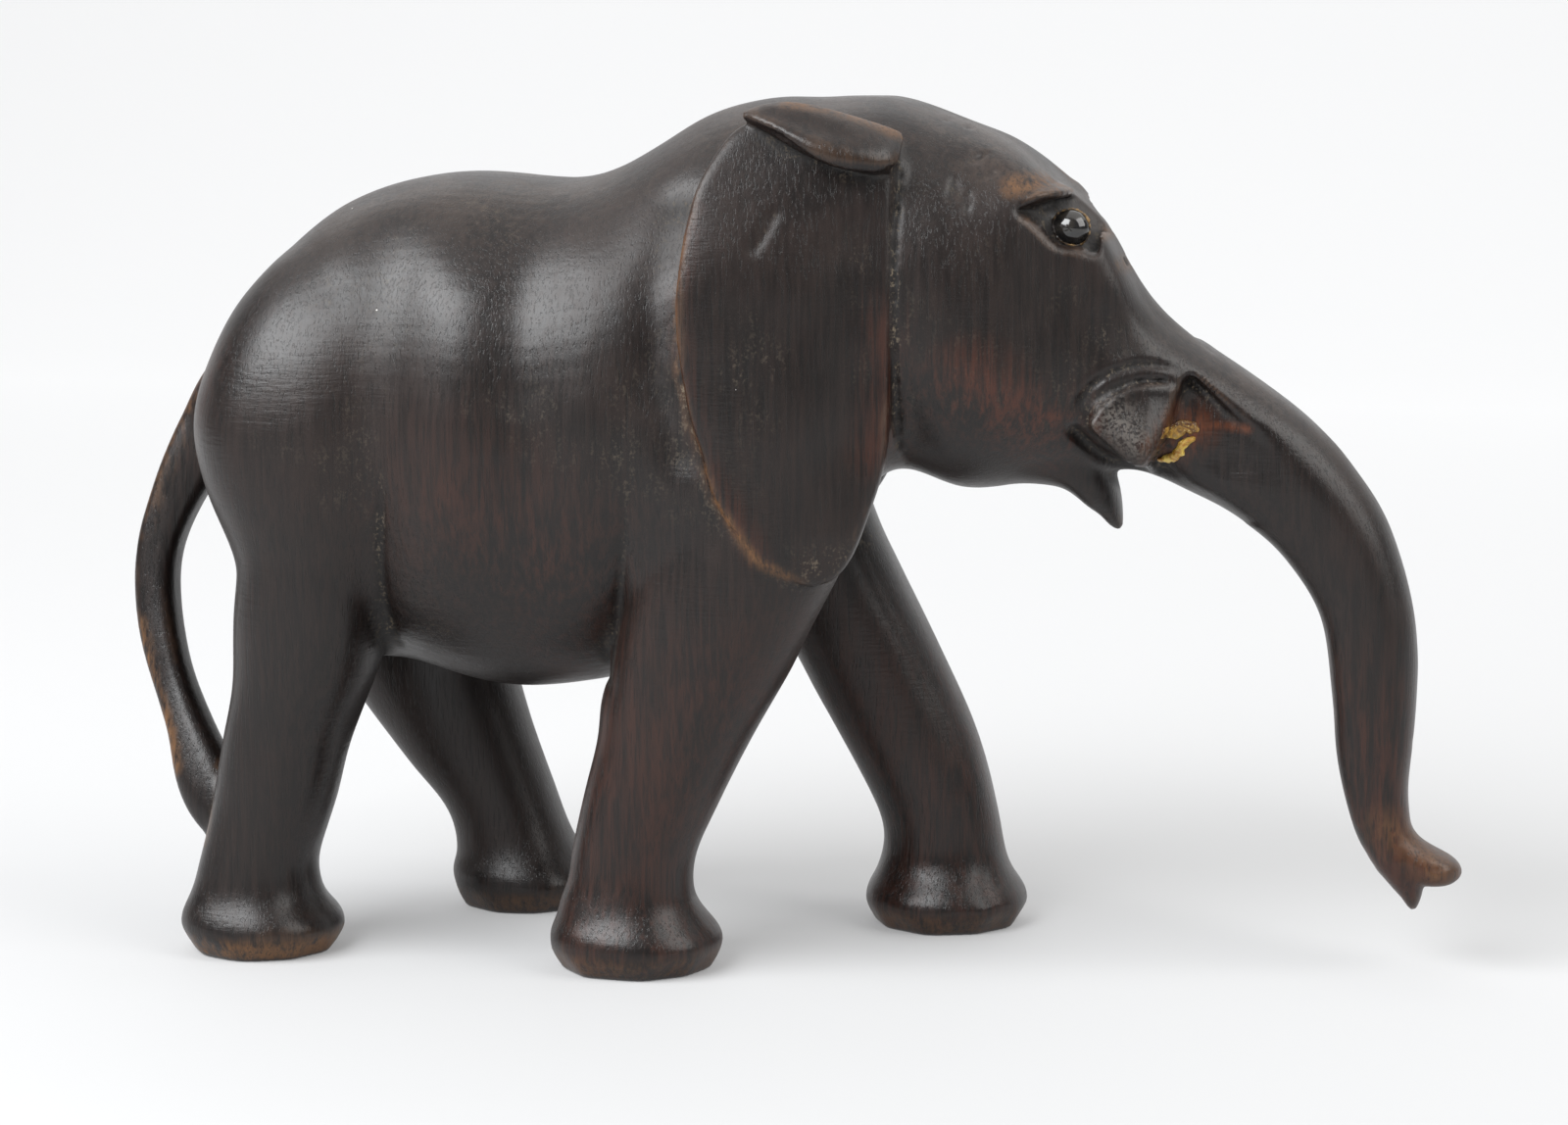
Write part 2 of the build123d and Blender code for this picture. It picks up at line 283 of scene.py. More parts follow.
SPINE = [
    (-96.4, 84.5, -96.0, 79.0, 0, 2.0, 2, 2, .5),
    (-95.8, 88.2, -94.4, 75.0, 0, 9.0, 2, 2, .5),
    (-93.2, 94.8, -90.6, 66.8, 0, 17.6, 2.1, 2.1, .5),
    (-88.9, 102.4, -85.6, 57.4, 0, 24.6, 2.1, 2.2, .5),
    (-82.4, 111.0, -79.6, 50.4, 0, 29.8, 2.2, 2.3, .5),
    (-73.5, 118.7, -72.0, 46.5, 0, 33.2, 2.35, 2.3, .5),
    (-62.0, 123.6, -61.0, 45.6, 0, 33.6, 2.35, 2.3, .5),
    (-50.0, 125.2, -50.0, 42.9, 0, 34.8, 2.35, 2.3, .5),
    (-40.0, 124.5, -40.0, 41.9, 0, 34.9, 2.35, 2.3, .5),
    (-31.0, 124.6, -30.5, 43.1, 0, 34.6, 2.35, 2.3, .5),
    (-21.0, 128.8, -20.0, 46.0, 0, 33.6, 2.3, 2.3, .52),
    (-11.0, 134.6, -10.0, 53.0, 0, 32.6, 2.25, 2.3, .53),
    (-1.0, 137.2, 0.0, 62.5, 0, 31.0, 2.2, 2.2, .53),
    (9.0, 137.5, 9.5, 75.0, 0, 28.8, 2.2, 2.2, .52),
    (18.5, 137.6, 19.6, 79.0, 0, 26.9, 2.3, 2.2, .50),
    (28.0, 134.6, 29.5, 76.2, 0, 25.4, 2.4, 2.25, .50),
    (37.5, 130.3, 39.0, 77.0, 0, 22.2, 3.4, 2.3, .52),
    (45.7, 123.5, 48.0, 78.0, 0, 18.2, 7.0, 2.3, .48),
    (52.5, 117.0, 55.5, 79.2, 0, 16.0, 8.0, 2.4, .48),
    (57.1, 109.3, 61.0, 78.2, 0, 14.2, 4.8, 2.6, .48),
    (63.4, 102.1, 66.0, 76.0, 0, 12.8, 3.0, 2.8, .50),
    (71.5, 96.5, 70.6, 73.9, 0, 11.4, 2.5, 3.0, .48),
    (79.5, 91.2, 75.4, 71.0, 0, 10.4, 2.4, 3.0, .46),
    (87.5, 84.3, 80.0, 67.0, 0, 9.5, 2.3, 3.0, .44),
    (94.4, 75.8, 84.2, 61.6, 0, 8.7, 2.3, 3.1, .42),
    (99.0, 65.8, 87.0, 55.6, 0, 8.0, 2.3, 3.2, .40),
    (101.5, 55.0, 88.2, 48.0, 0, 7.5, 2.3, 3.3, .40),
    (101.8, 45.0, 88.9, 40.5, 0, 7.0, 2.3, 3.3, .40),
    (101.4, 36.5, 89.6, 33.8, 0, 6.5, 2.3, 3.3, .40),
    (100.9, 29.8, 91.1, 26.8, 0, 6.1, 2.3, 3.0, .42),
    (101.2, 24.4, 93.9, 19.8, 0, 5.7, 2.4, 2.6, .46),
    (101.8, 20.6, 97.4, 16.0, 0, 5.3, 2.4, 2.4, .50),
    (102.4, 18.0, 99.9, 14.0, 0, 4.4, 2.2, 2.2, .50),
]
LEG_HR = leg([
    (-2.0, -82.0, 22.2, -20.5, 11.0), (0.0, -82.0, 22.8, -20.5, 11.4), (1.6, -82.2, 24.4, -20.5, 12.3),
    (4.2, -82.5, 25.8, -20.5, 13.0), (6.0, -82.8, 25.0, -20.5, 12.6), (8.4, -83.3, 22.0, -20.5, 11.5),
    (11.0, -83.3, 19.9, -20.5, 10.6), (14.0, -83.0, 18.8, -20.5, 10.2),
    (18.0, -82.0, 18.7, -20.4, 10.1), (25.0, -80.0, 19.5, -20.3, 10.4), (35.0, -77.8, 20.3, -20.1, 11.2),
    (45.0, -74.8, 22.4, -20.0, 12.4), (55.0, -73.4, 24.6, -19.6, 13.8), (66.0, -72.6, 25.0, -19.0, 14.9),
    (80.0, -75.5, 27.0, -18.0, 15.4), (93.0, -76.0, 22.0, -17.5, 13.2), (103.0, -76.0, 12.0, -17.0, 7.0),
    (106.0, -76.0, 4.0, -17.0, 2.5),
])
LEG_FR = leg([
    (-2.0, -19.8, 23.4, -20.5, 11.6), (0.0, -19.8, 24.0, -20.5, 12.0), (1.6, -19.8, 25.8, -20.5, 12.8),
    (4.2, -19.8, 27.2, -20.5, 13.4), (6.0, -20.1, 26.5, -20.5, 13.1), (8.4, -20.6, 23.7, -20.5, 12.0),
    (11.0, -21.1, 21.4, -20.5, 11.0), (14.0, -20.8, 19.8, -20.5, 10.4),
    (18.0, -20.2, 19.6, -20.4, 10.2), (23.0, -18.7, 20.5, -20.3, 10.5), (30.0, -16.2, 22.4, -20.2, 11.0),
    (38.0, -13.3, 24.8, -20.0, 11.8), (47.0, -10.5, 29.2, -19.8, 12.7), (56.0, -7.5, 32.0, -19.6, 13.6),
    (66.0, -4.2, 35.2, -19.0, 14.3), (78.0, -1.0, 35.0, -18.0, 14.8), (92.0, 2.0, 29.0, -17.5, 13.6),
    (104.0, 3.0, 17.0, -17.0, 8.5), (107.0, 3.0, 6.0, -17.0, 3.0),
])
LEG_FL = leg([
    (-2.0, 23.8, 23.4, 20.0, 11.8), (0.0, 23.8, 24.0, 20.0, 12.2), (1.6, 23.8, 25.6, 20.0, 12.9),
    (4.2, 23.7, 26.8, 20.0, 13.4), (6.0, 23.5, 26.0, 20.2, 13.0), (8.4, 23.3, 23.2, 20.4, 11.8),
    (11.0, 23.2, 21.1, 20.5, 10.7), (14.0, 23.1, 19.9, 20.5, 10.2),
    (17.0, 22.7, 19.7, 20.4, 10.1), (22.0, 21.2, 20.6, 20.3, 10.4), (31.0, 17.6, 22.8, 20.1, 11.0),
    (41.0, 12.6, 24.0, 20.0, 11.8), (51.0, 7.5, 24.4, 19.8, 12.6), (61.0, 1.7, 26.2, 19.4, 13.4),
    (72.0, -3.2, 27.0, 18.6, 14.0), (85.0, -5.5, 26.0, 17.8, 13.4), (98.0, -4.5, 17.0, 17.2, 9.6),
    (102.0, -4.5, 6.0, 17.0, 3.0),
])
LEG_HL = leg([
    (-2.0, -48.9, 20.6, 20.5, 10.6), (0.0, -48.9, 21.2, 20.5, 10.9), (1.6, -48.9, 22.8, 20.5, 11.7),
    (4.2, -49.0, 24.2, 20.5, 12.5), (6.0, -49.5, 23.8, 20.5, 12.3), (8.4, -50.1, 21.6, 20.5, 11.4),
    (11.0, -50.9, 19.9, 20.5, 10.6), (14.0, -51.9, 19.1, 20.5, 10.2),
    (17.0, -53.1, 19.3, 20.4, 10.1), (23.0, -56.6, 22.0, 20.3, 10.5), (30.0, -60.7, 25.4, 20.2, 11.2),
    (38.0, -64.9, 28.8, 20.1, 12.2), (46.0, -67.8, 30.2, 20.0, 13.0), (56.0, -71.2, 30.8, 19.6, 14.0),
    (68.0, -73.6, 30.0, 19.0, 14.8), (81.0, -75.2, 27.0, 18.0, 15.0), (93.0, -76.0, 22.0, 17.5, 13.0),
    (102.0, -76.0, 12.0, 17.0, 7.5), (105.0, -76.0, 4.0, 17.0, 2.5),
])
TAIL = [
    (-88.0, 97.0, -84.0, 88.0, 0.0, 2.0, 2.4, 2.4, .5),
    (-92.6, 95.6, -87.6, 85.0, -0.2, 3.2, 2.6, 2.6, .5),
    (-97.6, 90.8, -91.0, 80.4, -0.5, 4.0, 2.8, 2.8, .5),
    (-102.8, 81.8, -95.4, 75.0, -1.2, 4.3, 3.2, 3.2, .5),
    (-106.0, 73.4, -98.6, 69.6, -2.3, 4.2, 3.4, 3.4, .5),
    (-108.1, 65.2, -101.1, 63.4, -3.6, 4.1, 3.4, 3.4, .5),
    (-108.5, 56.6, -101.7, 56.4, -5.0, 4.0, 3.4, 3.4, .5),
    (-107.1, 48.4, -100.6, 49.6, -6.6, 3.9, 3.4, 3.4, .5),
    (-104.4, 40.8, -98.4, 42.8, -8.4, 3.9, 3.2, 3.2, .5),
    (-101.4, 33.8, -94.8, 36.0, -10.6, 4.0, 3.0, 3.0, .5),
    (-99.6, 27.2, -90.6, 29.6, -12.8, 4.1, 2.8, 2.8, .5),
    (-96.8, 21.0, -87.4, 23.4, -14.6, 3.9, 2.4, 2.4, .5),
    (-93.0, 17.2, -86.6, 18.8, -16.2, 2.6, 2.2, 2.2, .5),
    (-90.0, 14.6, -86.0, 16.0, -17.2, 1.6, 2.0, 2.0, .5),
]
JAW = [
    (36.0, 92.0, 36.0, 78.4, 0, 12.4, 2.2, 2.2, .5),
    (42.0, 89.0, 42.6, 77.0, 0, 11.8, 2.2, 2.2, .5),
    (47.8, 85.5, 47.0, 75.6, 0, 10.2, 2.2, 2.4, .5),
    (52.0, 81.6, 49.8, 73.2, 0, 8.2, 2.2, 2.6, .5),
    (54.2, 77.4, 51.6, 71.8, 0, 5.6, 2.2, 2.6, .5),
    (55.0, 72.8, 53.2, 70.0, 0, 2.8, 2.2, 2.4, .5),
    (55.1, 70.2, 54.4, 69.3, 0, 0.9, 2.0, 2.0, .5),
]
FINGER = [
    (98.8, 23.0, 97.0, 16.6, 0, 5.0, 2.4, 2.4, .5),
    (102.3, 21.6, 100.0, 15.2, 0, 5.4, 2.4, 2.4, .5),
    (105.2, 19.9, 103.2, 14.3, 0, 5.6, 2.6, 2.6, .5),
    (107.8, 18.5, 106.0, 14.2, 0, 4.9, 2.6, 2.6, .5),
    (109.2, 17.2, 108.2, 14.7, 0, 2.8, 2.2, 2.2, .5),
    (109.5, 16.3, 109.3, 15.7, 0, 0.8, 2.0, 2.0, .5),
]
LOBE = [
    (101.2, 20.6, 96.0, 18.4, 0, 5.2, 2.4, 2.4, .5),
    (102.8, 16.2, 98.0, 14.9, 0, 5.2, 2.4, 2.4, .5),
    (103.4, 13.2, 100.2, 12.0, 0, 4.2, 2.4, 2.4, .5),
    (102.7, 10.8, 101.4, 10.3, 0, 2.4, 2.2, 2.2, .5),
    (102.4, 10.1, 101.9, 9.9, 0, 0.8, 2.0, 2.0, .5),
]
EAR = curve([
    (-0.2, 134.4), (-3.8, 131.2), (-6.6, 126.2), (-8.6, 121.0), (-9.7, 115.4), (-10.2, 109.4), (-10.2, 103.2),
    (-9.5, 96.4), (-8.3, 89.6), (-6.4, 83.2), (-4.1, 77.2), (-1.1, 72.0), (2.7, 67.6), (7.0, 64.4), (10.4, 63.3),
    (13.1, 63.9), (15.5, 66.4), (17.4, 70.3), (19.3, 75.6), (20.7, 80.9), (21.6, 86.0), (22.0, 92.0), (22.1, 100.0),
    (22.1, 108.0), (22.0, 116.0), (21.9, 124.0), (21.2, 129.0), (17.5, 131.0), (9.5, 133.5),
], 200, closed=True)


# The left ear was cut a little shorter and further back than the right one.
EAR_LEFT = EAR.copy()
EAR_LEFT[:, 0] -= 5.5 * np.clip((124.0 - EAR[:, 1]) / 58.0, 0, 1.1)
EAR_LEFT[:, 1] = 136.0 - (136.0 - EAR[:, 1]) * 0.93


def ear_out(x, z):
    """How far out the ear's face stands: flaring to the rear, leaning in to the
    neck at the top, dished in front."""
    t = np.clip((24.5 - x) / 34.0, 0, 1)
    y = 25.9 + 10.6 * t ** 0.85
    y = y - (4.6 + 3.2 * t) * np.clip((z - 108.0) / 28.0, 0, 1.2) ** 1.7
    y = y - 0.9 * bump(x - 17.5, 4.5) * step(z, 70, 90) * (1 - step(z, 112, 126))
    y = y + 0.7 * bump(np.hypot((x - 2.0) / 9.0, (z - 98.0) / 24.0), 1.0)
    y = y - 1.6 * step(72.0 - z, 0, 12) * step(x, 2, 18)
    return y


body = distance(ribs(SPINE))
Zc = GZ[None, None, :]
Xc = GX[:, None, None]
Yc = GY[None, :, None]
# Legs run smoothly into haunch and shoulder high up, and meet the belly in a
# crisp line low down.
soft = (1.6 + 9.0 * step(Zc, 52, 88)).astype(np.float32)
for rows in (LEG_HR, LEG_FR, LEG_FL, LEG_HL):
    body = smin(body, distance(ribs(rows)), soft)
body = smin(body, distance(ribs(TAIL)), (1.2 + 3.0 * step(Zc, 78, 92) + 1.6 * step(34.0 - Zc, 0, 10)).astype(np.float32))
body = smin(body, distance(ribs(JAW)), 1.6)
tip = smin(distance(ribs(FINGER)), distance(ribs(LOBE)), 1.0)
body = smin(body, tip, 2.2)

# ---- forehead: the left half was pared back a little more --------------------
sl, X, Y, Z = region((38, -4, 100), (70, 26, 128))
front = np.interp(Z, [98.0, 104.0, 110.1, 114.0, 118.1, 121.0, 123.7, 127.4], [68.8, 61.8, 57.2, 54.9, 52.5, 50.2, 47.7, 43.2])
pare = ((X - front) * 0.98 + Y * 0.2) * 0.72 - 4.0 * step(-Y, -1.0, 4.0) - 3.0 * step(Z, 119.0, 126.0)
body[sl] = smax(body[sl], pare, 1.2)

# ---- ears ------------------------------------------------------------------
sl, X, Y, Z = region((-18, -41, 58), (34, 41, 141))
yo = ear_out(X, Z)
# the rim is undulating and rounded
wob = 0.25 * np.sin(Z / 5.1) + 0.18 * np.sin(Z / 2.3 + X / 3.0)
for side, rim in ((-1, EAR), (1, EAR_LEFT)):
    dP = poly2(X[:, 0, :], Z[0, 0, :][None, :], rim)[:, None, :]
    yy = side * Y
    outer = yy - yo
    inner = (yo - 6.0 + 2.2 * step(dP, -3.0, 0.3)) - yy
    blade = smax(smax(dP + 0.25 * wob * (dP > -2), outer, 1.5), inner, 1.5)
    body[sl] = smin(body[sl], blade, (0.8 + 2.4 * step(Z, 116, 128)).astype(np.float32))

# the rolled upper edge, a leaf that overhangs the ear's face and dies into the head
FOLD = [
    (-0.8, 27.4, 135.9, -1.0, 28.4, 134.9, 0.6, 2.2),
    (1.6, 25.6, 136.6, 1.8, 30.2, 134.2, 1.3, 2.3),
    (5.0, 24.0, 136.8, 5.4, 31.6, 132.5, 2.0, 2.4),
    (9.0, 23.2, 136.3, 9.8, 32.2, 130.1, 2.4, 2.4),
    (13.4, 22.8, 135.2, 14.4, 31.6, 128.2, 2.6, 2.4),
    (17.2, 22.2, 134.0, 18.2, 30.2, 127.4, 2.6, 2.5),
    (20.4, 21.2, 133.0, 21.2, 28.2, 127.1, 2.3, 2.6),
    (22.3, 19.6, 132.3, 22.6, 26.4, 127.4, 1.6, 2.6),
]
GUTTER = [(-0.4, 28.6, 134.6, .5), (2.4, 30.2, 133.2, .9), (5.8, 31.0, 131.6, 1.15), (10.0, 30.8, 129.1, 1.1), (14.6, 29.8, 127.2, .95), (18.4, 28.4, 126.4, .85), (21.6, 26.8, 126.4, .7)]
for side in (-1, 1):
    dz = 0.0 if side < 0 else -1.3
    fold = distance(blade3([(a, side * b, c + dz, d, side * e, f + dz, w, n) for a, b, c, d, e, f, w, n in FOLD]))
    s2, X2, Y2, Z2 = region((-8, -41, 116), (32, 41, 141))
    yy = side * Y2
    body[s2] = smin(body[s2], fold[s2], 1.0)
    low = curve([(a, b, c + dz, r) for a, b, c, r in GUTTER], 24)
    body[s2] = smax(body[s2], -chain(X2, yy, Z2, low[:, :3], low[:, 3]), 0.5)
    # a shallow hollow pressed into the leaf, leaving its upper edge standing
    dish = curve([(3.4, 30.4, 137.2, 0.9), (8.0, 31.4, 136.4, 2.0), (12.5, 31.6, 135.0, 2.2), (16.5, 31.2, 133.6, 1.4)], 18)
    body[s2] = smax(body[s2], -chain(X2, yy, Z2 - dz, dish[:, :3], dish[:, 3]), 1.8)
print("block", body.shape)


# ---- carved relief, laid on the sides --------------------------------------
EYE = curve([
    (40.3, 121.0), (42.2, 121.7), (44.2, 122.3), (46.4, 122.6), (48.6, 122.4), (50.4, 121.3), (51.5, 119.5),
    (52.1, 117.2), (52.4, 114.9), (52.0, 113.9), (50.4, 114.7), (48.4, 115.0), (46.5, 115.5), (44.8, 117.0), (42.7, 119.2),
], 120, closed=True)
EYE_R_C = np.array([47.95, 12.9, 118.05])
EYE_L_C = np.array([46.3, 12.9, 117.3])
BROW = curve([(40.8, 122.2), (44.0, 123.4), (47.0, 123.7), (49.4, 123.0), (51.2, 121.2), (52.4, 118.6)], 40)
FLAP = curve([
    (51.4, 89.4), (52.2, 91.0), (53.9, 92.6), (57.6, 94.3), (61.0, 94.6), (64.2, 94.0), (64.4, 92.6), (63.9, 89.4), (63.0, 86.4),
    (61.6, 83.2), (60.0, 81.0), (58.4, 81.4), (56.0, 83.2), (53.2, 85.8), (51.4, 87.8),
], 120, closed=True)
CREASE_1 = curve([(49.2, 89.6), (50.6, 92.4), (52.8, 94.8), (56.6, 96.7), (61.6, 97.1), (65.0, 95.9)], 40)
CREASE_2 = curve([(51.0, 87.6), (51.9, 89.6), (53.8, 91.9), (57.8, 94.1), (63.2, 94.4), (65.0, 93.6)], 40)
SEAT = curve([
    (66.4, 95.3), (67.8, 94.4), (70.2, 92.4), (74.0, 89.6), (79.0, 87.0), (86.0, 80.0), (86.0, 64.0), (74.0, 66.0),
    (63.0, 74.5), (60.4, 81.0), (62.8, 85.4), (64.0, 89.0), (64.8, 92.6), (65.4, 94.6),
], 120, closed=True)
MOUTH = curve([(49.0, 86.6), (51.7, 83.4), (54.6, 81.2), (58.0, 79.6), (62.0, 78.4)], 40)
LIP_IN = curve([(49.6, 83.6), (52.6, 80.6), (54.2, 76.0), (54.4, 71.6)], 30)

gx, gz = GX[:, None].astype(float), GZ[None, :].astype(float)


def sub2(lo, hi):
    a, b = np.searchsorted(GX, [lo[0], hi[0]])
    c, d = np.searchsorted(GZ, [lo[1], hi[1]])
    return slice(a, b), slice(c, d)


def side_relief(side):
    """Depth cut into the flank (+) or left standing (-), over XZ."""
    R = np.zeros((len(GX), len(GZ)))
    # vertical hollows and swells of ribs, haunch and shoulder
    R += 0.95 * bump(gx + 57.5 - 0.02 * (gz - 90), 5.5) * step(gz, 56, 72) * (1 - step(gz, 108, 122))
    R -= 0.55 * bump(gx + 45.5, 6.5) * step(gz, 60, 75) * (1 - step(gz, 106, 120))
    R += 0.50 * bump(gx + 34.0, 5.0) * step(gz, 62, 78) * (1 - step(gz, 108, 122))
    R -= 0.40 * bump(gx + 24.5, 6.0) * step(gz, 66, 80) * (1 - step(gz, 110, 124))
    # hollow where the body meets the ear, and behind the ear's lower rim
    e = line2(gx, gz, [(-11.5, 120), (-13.5, 108), (-12.8, 96), (-9.0, 84)])[0]
    R += 1.1 * bump(e, 4.0)
    # creases of the two near leg roots
    if side < 0:
        k, t = line2(gx, gz, curve([(-57.2, 84), (-58.2, 74), (-59.2, 64), (-59.6, 56), (-59.4, 50.5)], 30))
        R += (0.35 + 0.4 * t) * bump(k, 0.85) * step(t, 0, 0.35) * (1 - 0.7 * step(t, 0.8, 1.0)) + 0.8 * bump(k, 3.4) * step(t, 0, 0.5) * (1 - 0.4 * step(t, 0.8, 1.0))
        k, t = line2(gx, gz, curve([(-17.2, 84), (-18.6, 73), (-20.2, 63), (-21.8, 54), (-23.2, 46.5)], 30))
        R += (0.3 + 0.5 * t) * bump(k, 0.9) * step(t, 0.05, 0.5) + 0.8 * bump(k + 0.0, 3.2) * step(t, 0, 0.5)
    else:
        k, t = line2(gx, gz, curve([(-55, 86), (-54, 74), (-52.4, 62), (-50.6, 50)], 30))
        R += (0.3 + 0.6 * t) * bump(k, 1.1) * step(t, 0, 0.35) + 0.8 * bump(k, 3.2) * step(t, 0, 0.5)
        k, t = line2(gx, gz, curve([(-16.5, 88), (-15.4, 76), (-12.0, 64), (-8.0, 56)], 30))
        R += (0.3 + 0.5 * t) * bump(k, 0.9) * step(t, 0.05, 0.5) + 0.8 * bump(k, 3.2) * step(t, 0, 0.5)
    # straight V cut in front of the ear
    R += (0.32 * bump(np.maximum(gx - 22.5, 0), 5.5) * (gx > 21.8)) * step(gz, 76, 86) * (1 - step(gz, 122, 130))
    k, t = line2(gx, gz, curve([(22.3, 127.6), (22.5, 118), (22.35, 106), (22.4, 95), (22.0, 84.0)], 40))
    R += (0.44 + 0.2 * np.sin(31 * t) * np.sin(73 * t)) * bump(k, 0.38)
    # cheek: fuller below the eye, hollowed toward the trunk root
    R -= 0.7 * bump(np.hypot((gx - 41) / 9, (gz - 92) / 8), 1.0)
    R += 0.5 * bump(np.hypot((gx - 58) / 7, (gz - 103) / 5), 1.0)
    # brow ridge and eye hollow
    k, t = line2(gx, gz, BROW)
    R -= (0.7 if side < 0 else 0.15) * bump(k, 0.7) * step(t, 0, 0.2) * (1 - step(t, 0.7, 1.0))
    s = sub2((34, 108), (60, 130))
    ex, ez = (0.0, 0.0) if side < 0 else (EYE_L_C - EYE_R_C)[[0, 2]]
    d = poly2(gx[s[0]] - ex, gz[:, s[1]] - ez, EYE)
    r = np.hypot(gx[s[0]] - ex - EYE_R_C[0], gz[:, s[1]] - ez - EYE_R_C[2])
    R[s] += step(-d, -0.1, 0.45) * (2.4 + 1.2 * bump(r, 4.4))
    # lip flap: stands proud at its lower tip, creased above
    s = sub2((44, 72), (92, 102))
    u, v = gx[s[0]], gz[:, s[1]]
    d = poly2(u, v, FLAP)
    drop = step((95.0 - v) / 13.0, 0.0, 1.0)
    front = step(u - (60.7 - 0.02 * (93 - v)), -0.5, 3.4)
    proud = (0.7 + 2.1 * drop) - (0.5 + 0.7 * drop) * front
    R[s] -= step(-d, -0.15, 0.25) * proud
    # cut-back seat behind the flap, on the trunk's side
    d = poly2(u, v, SEAT)
    fade = 1 - step(u, 67, 84)
    low = step(v - (79.5 + 0.0 * u), -3.0, 3.0)
    R[s] += step(-d, -0.15, 0.5 + 4.0 * (1 - fade)) * 2.4 * fade * (0.35 + 0.65 * low)
    # mouth line under the flap
    k, t = line2(u, v, MOUTH)
    R[s] += 1.6 * bump(k, 1.0) * (1 - step(t, 0.7, 1.0))
    for line, dep, wid in ((CREASE_1, 0.55, 0.42), (CREASE_2, 0.7, 0.42)):
        k, t = line2(u, v, line)
        j = 0.75 + 0.35 * np.sin(23 * t + side) * np.sin(61 * t)
        R[s] += dep * j * bump(k, wid) * step(t, 0, 0.12) * (1 - step(t, 0.85, 1.0))
        R[s] -= 0.16 * bump(k - 1.0, 0.7) * step(t, 0.05, 0.2) * (1 - step(t, 0.8, 1.0))
    # hollow knife pass on the ear, and a few nicks
    k, t = line2(gx, gz, [(4.6, 120.4), (3.4, 117.6), (1.8, 115.2)])
    R += 0.45 * bump(k, 0.9)
    for x, z, dx, dz, dep in ((33.6, 128.6, 2.2, 1.2, .35), (34.8, 127.8, 1.6, -1.4, .3), (30.4, 124.4, .4, 2.6, .35), (31.4, 124.0, -.8, 2.2, .3), (35.8, 126.3, 1.8, .8, .4), (33.0, 122.0, .2, 3.0, .25)):
        k, t = line2(gx, gz, [(x - dx / 2, z - dz / 2), (x + dx / 2, z + dz / 2)])
        R += dep * bump(k, 0.35)
    return R


for side in (-1, 1):
    R = side_relief(side).astype(np.float32)
    w = step(side * GY, 2.0, 7.0).astype(np.float32)
    sgn = (side * GY > 0)
    body[:, sgn, :] += R[:, None, :] * w[sgn][None, :, None]

# ---- grooves and nicks cut across ridges -----------------------------------
def cut(P, r, k=0.5):
    P = np.array(P, float)
    s, X, Y, Z = region(P.min(0)[:3] - 4, P.max(0)[:3] + 4)
    body[s] = smax(body[s], -chain(X, Y, Z, P, r), k)


for x, z, hw in ((52.6, 117.8, 6), (55.4, 112.6, 5), (68.4, 99.5, 3), (69.2, 98.9, 3), (90.6, 83.2, 2.6), (102.1, 57.2, 3.0), (102.3, 54.4, 3.0), (102.4, 39.2, 2.8), (101.9, 37.0, 2.6)):
    cut([(x, -hw, z - 0.25), (x + 0.12, 0, z), (x, hw, z - 0.2)], 0.62, 0.2)
cut([(27.6, -8.5, 134.6), (27.9, -5.0, 135.4)], 0.5)
cut([(30.9, -8.0, 133.3), (31.1, -5.2, 134.0)], 0.5)
# knuckled, roughly cut end of the trunk
cut([(104.9, -6, 21.4), (104.7, 0, 21.6), (104.9, 6, 21.4)], 0.8, 0.4)
cut([(101.2, -6.4, 17.0), (104.2, -6.2, 15.2), (108.0, -5.4, 13.8)], 1.0, 0.6)
cut([(101.2, 6.4, 17.0), (104.2, 6.2, 15.2), (108.0, 5.4, 13.8)], 1.0, 0.6)
cut([(106.9, -5, 12.6), (104.9, -2, 13.6), (104.9, 2, 13.6), (106.9, 5, 12.6)], 0.9, 0.5)
for x, y, z, r in ((99.4, -5.9, 24.2, .5), (101.0, -5.8, 22.2, .55), (103.4, -5.6, 20.0, .5), (106.2, -5.2, 18.0, .5), (104.6, -5.9, 18.4, .4), (100.2, -6.0, 20.2, .45), (102.8, -5.4, 13.4, .5)):
    cut([(x - .8, y, z - .5), (x + .8, y, z + .5)], r, 0.5)
    cut([(x - .8, -y, z - .4), (x + .8, -y, z + .6)], r, 0.5)

# ---- soles: chamfered by knife, then sawn flat -----------------------------
for cx, cy, rx, ry, ph in ((-82.3, -20.5, 12.7, 12.9, 10), (-19.9, -20.5, 13.5, 13.3, 24), (23.7, 20.0, 13.1, 13.3, 4), (-48.9, 20.5, 12.0, 12.6, 33)):
    s, X, Y, Z = region((cx - 18, cy - 18, -4), (cx + 18, cy + 18, 9))
    for a in range(9):
        t = math.radians(ph + a * 40 + 5 * math.sin(a * 2.3 + ph))
        c, q = math.cos(t), math.sin(t)
        r = 1 / math.hypot(c / rx, q / ry)
        d = ((X - cx) * c + (Y - cy) * q) * 0.84 - (Z - 2.4) * 0.54 - r * 0.84 + 0.25
        body[s] = smax(body[s], d, 0.6)
body = smax(body, (-Zc).astype(np.float32) * np.ones_like(body), 0.25)


# ---- mesh ------------------------------------------------------------------
def blur(F, sigma):
    r = int(math.ceil(2.5 * sigma))
    k = np.exp(-0.5 * (np.arange(-r, r + 1) / sigma) ** 2)
    k /= k.sum()
    for ax in range(3):
        p = np.pad(F, [(r, r) if m == ax else (0, 0) for m in range(3)], mode="edge")
        acc = np.zeros_like(F)
        for i, w in enumerate(k):
            s = [slice(None)] * 3
            s[ax] = slice(i, i + F.shape[ax])
            acc += np.float32(w) * p[tuple(s)]
        F = acc
    return F


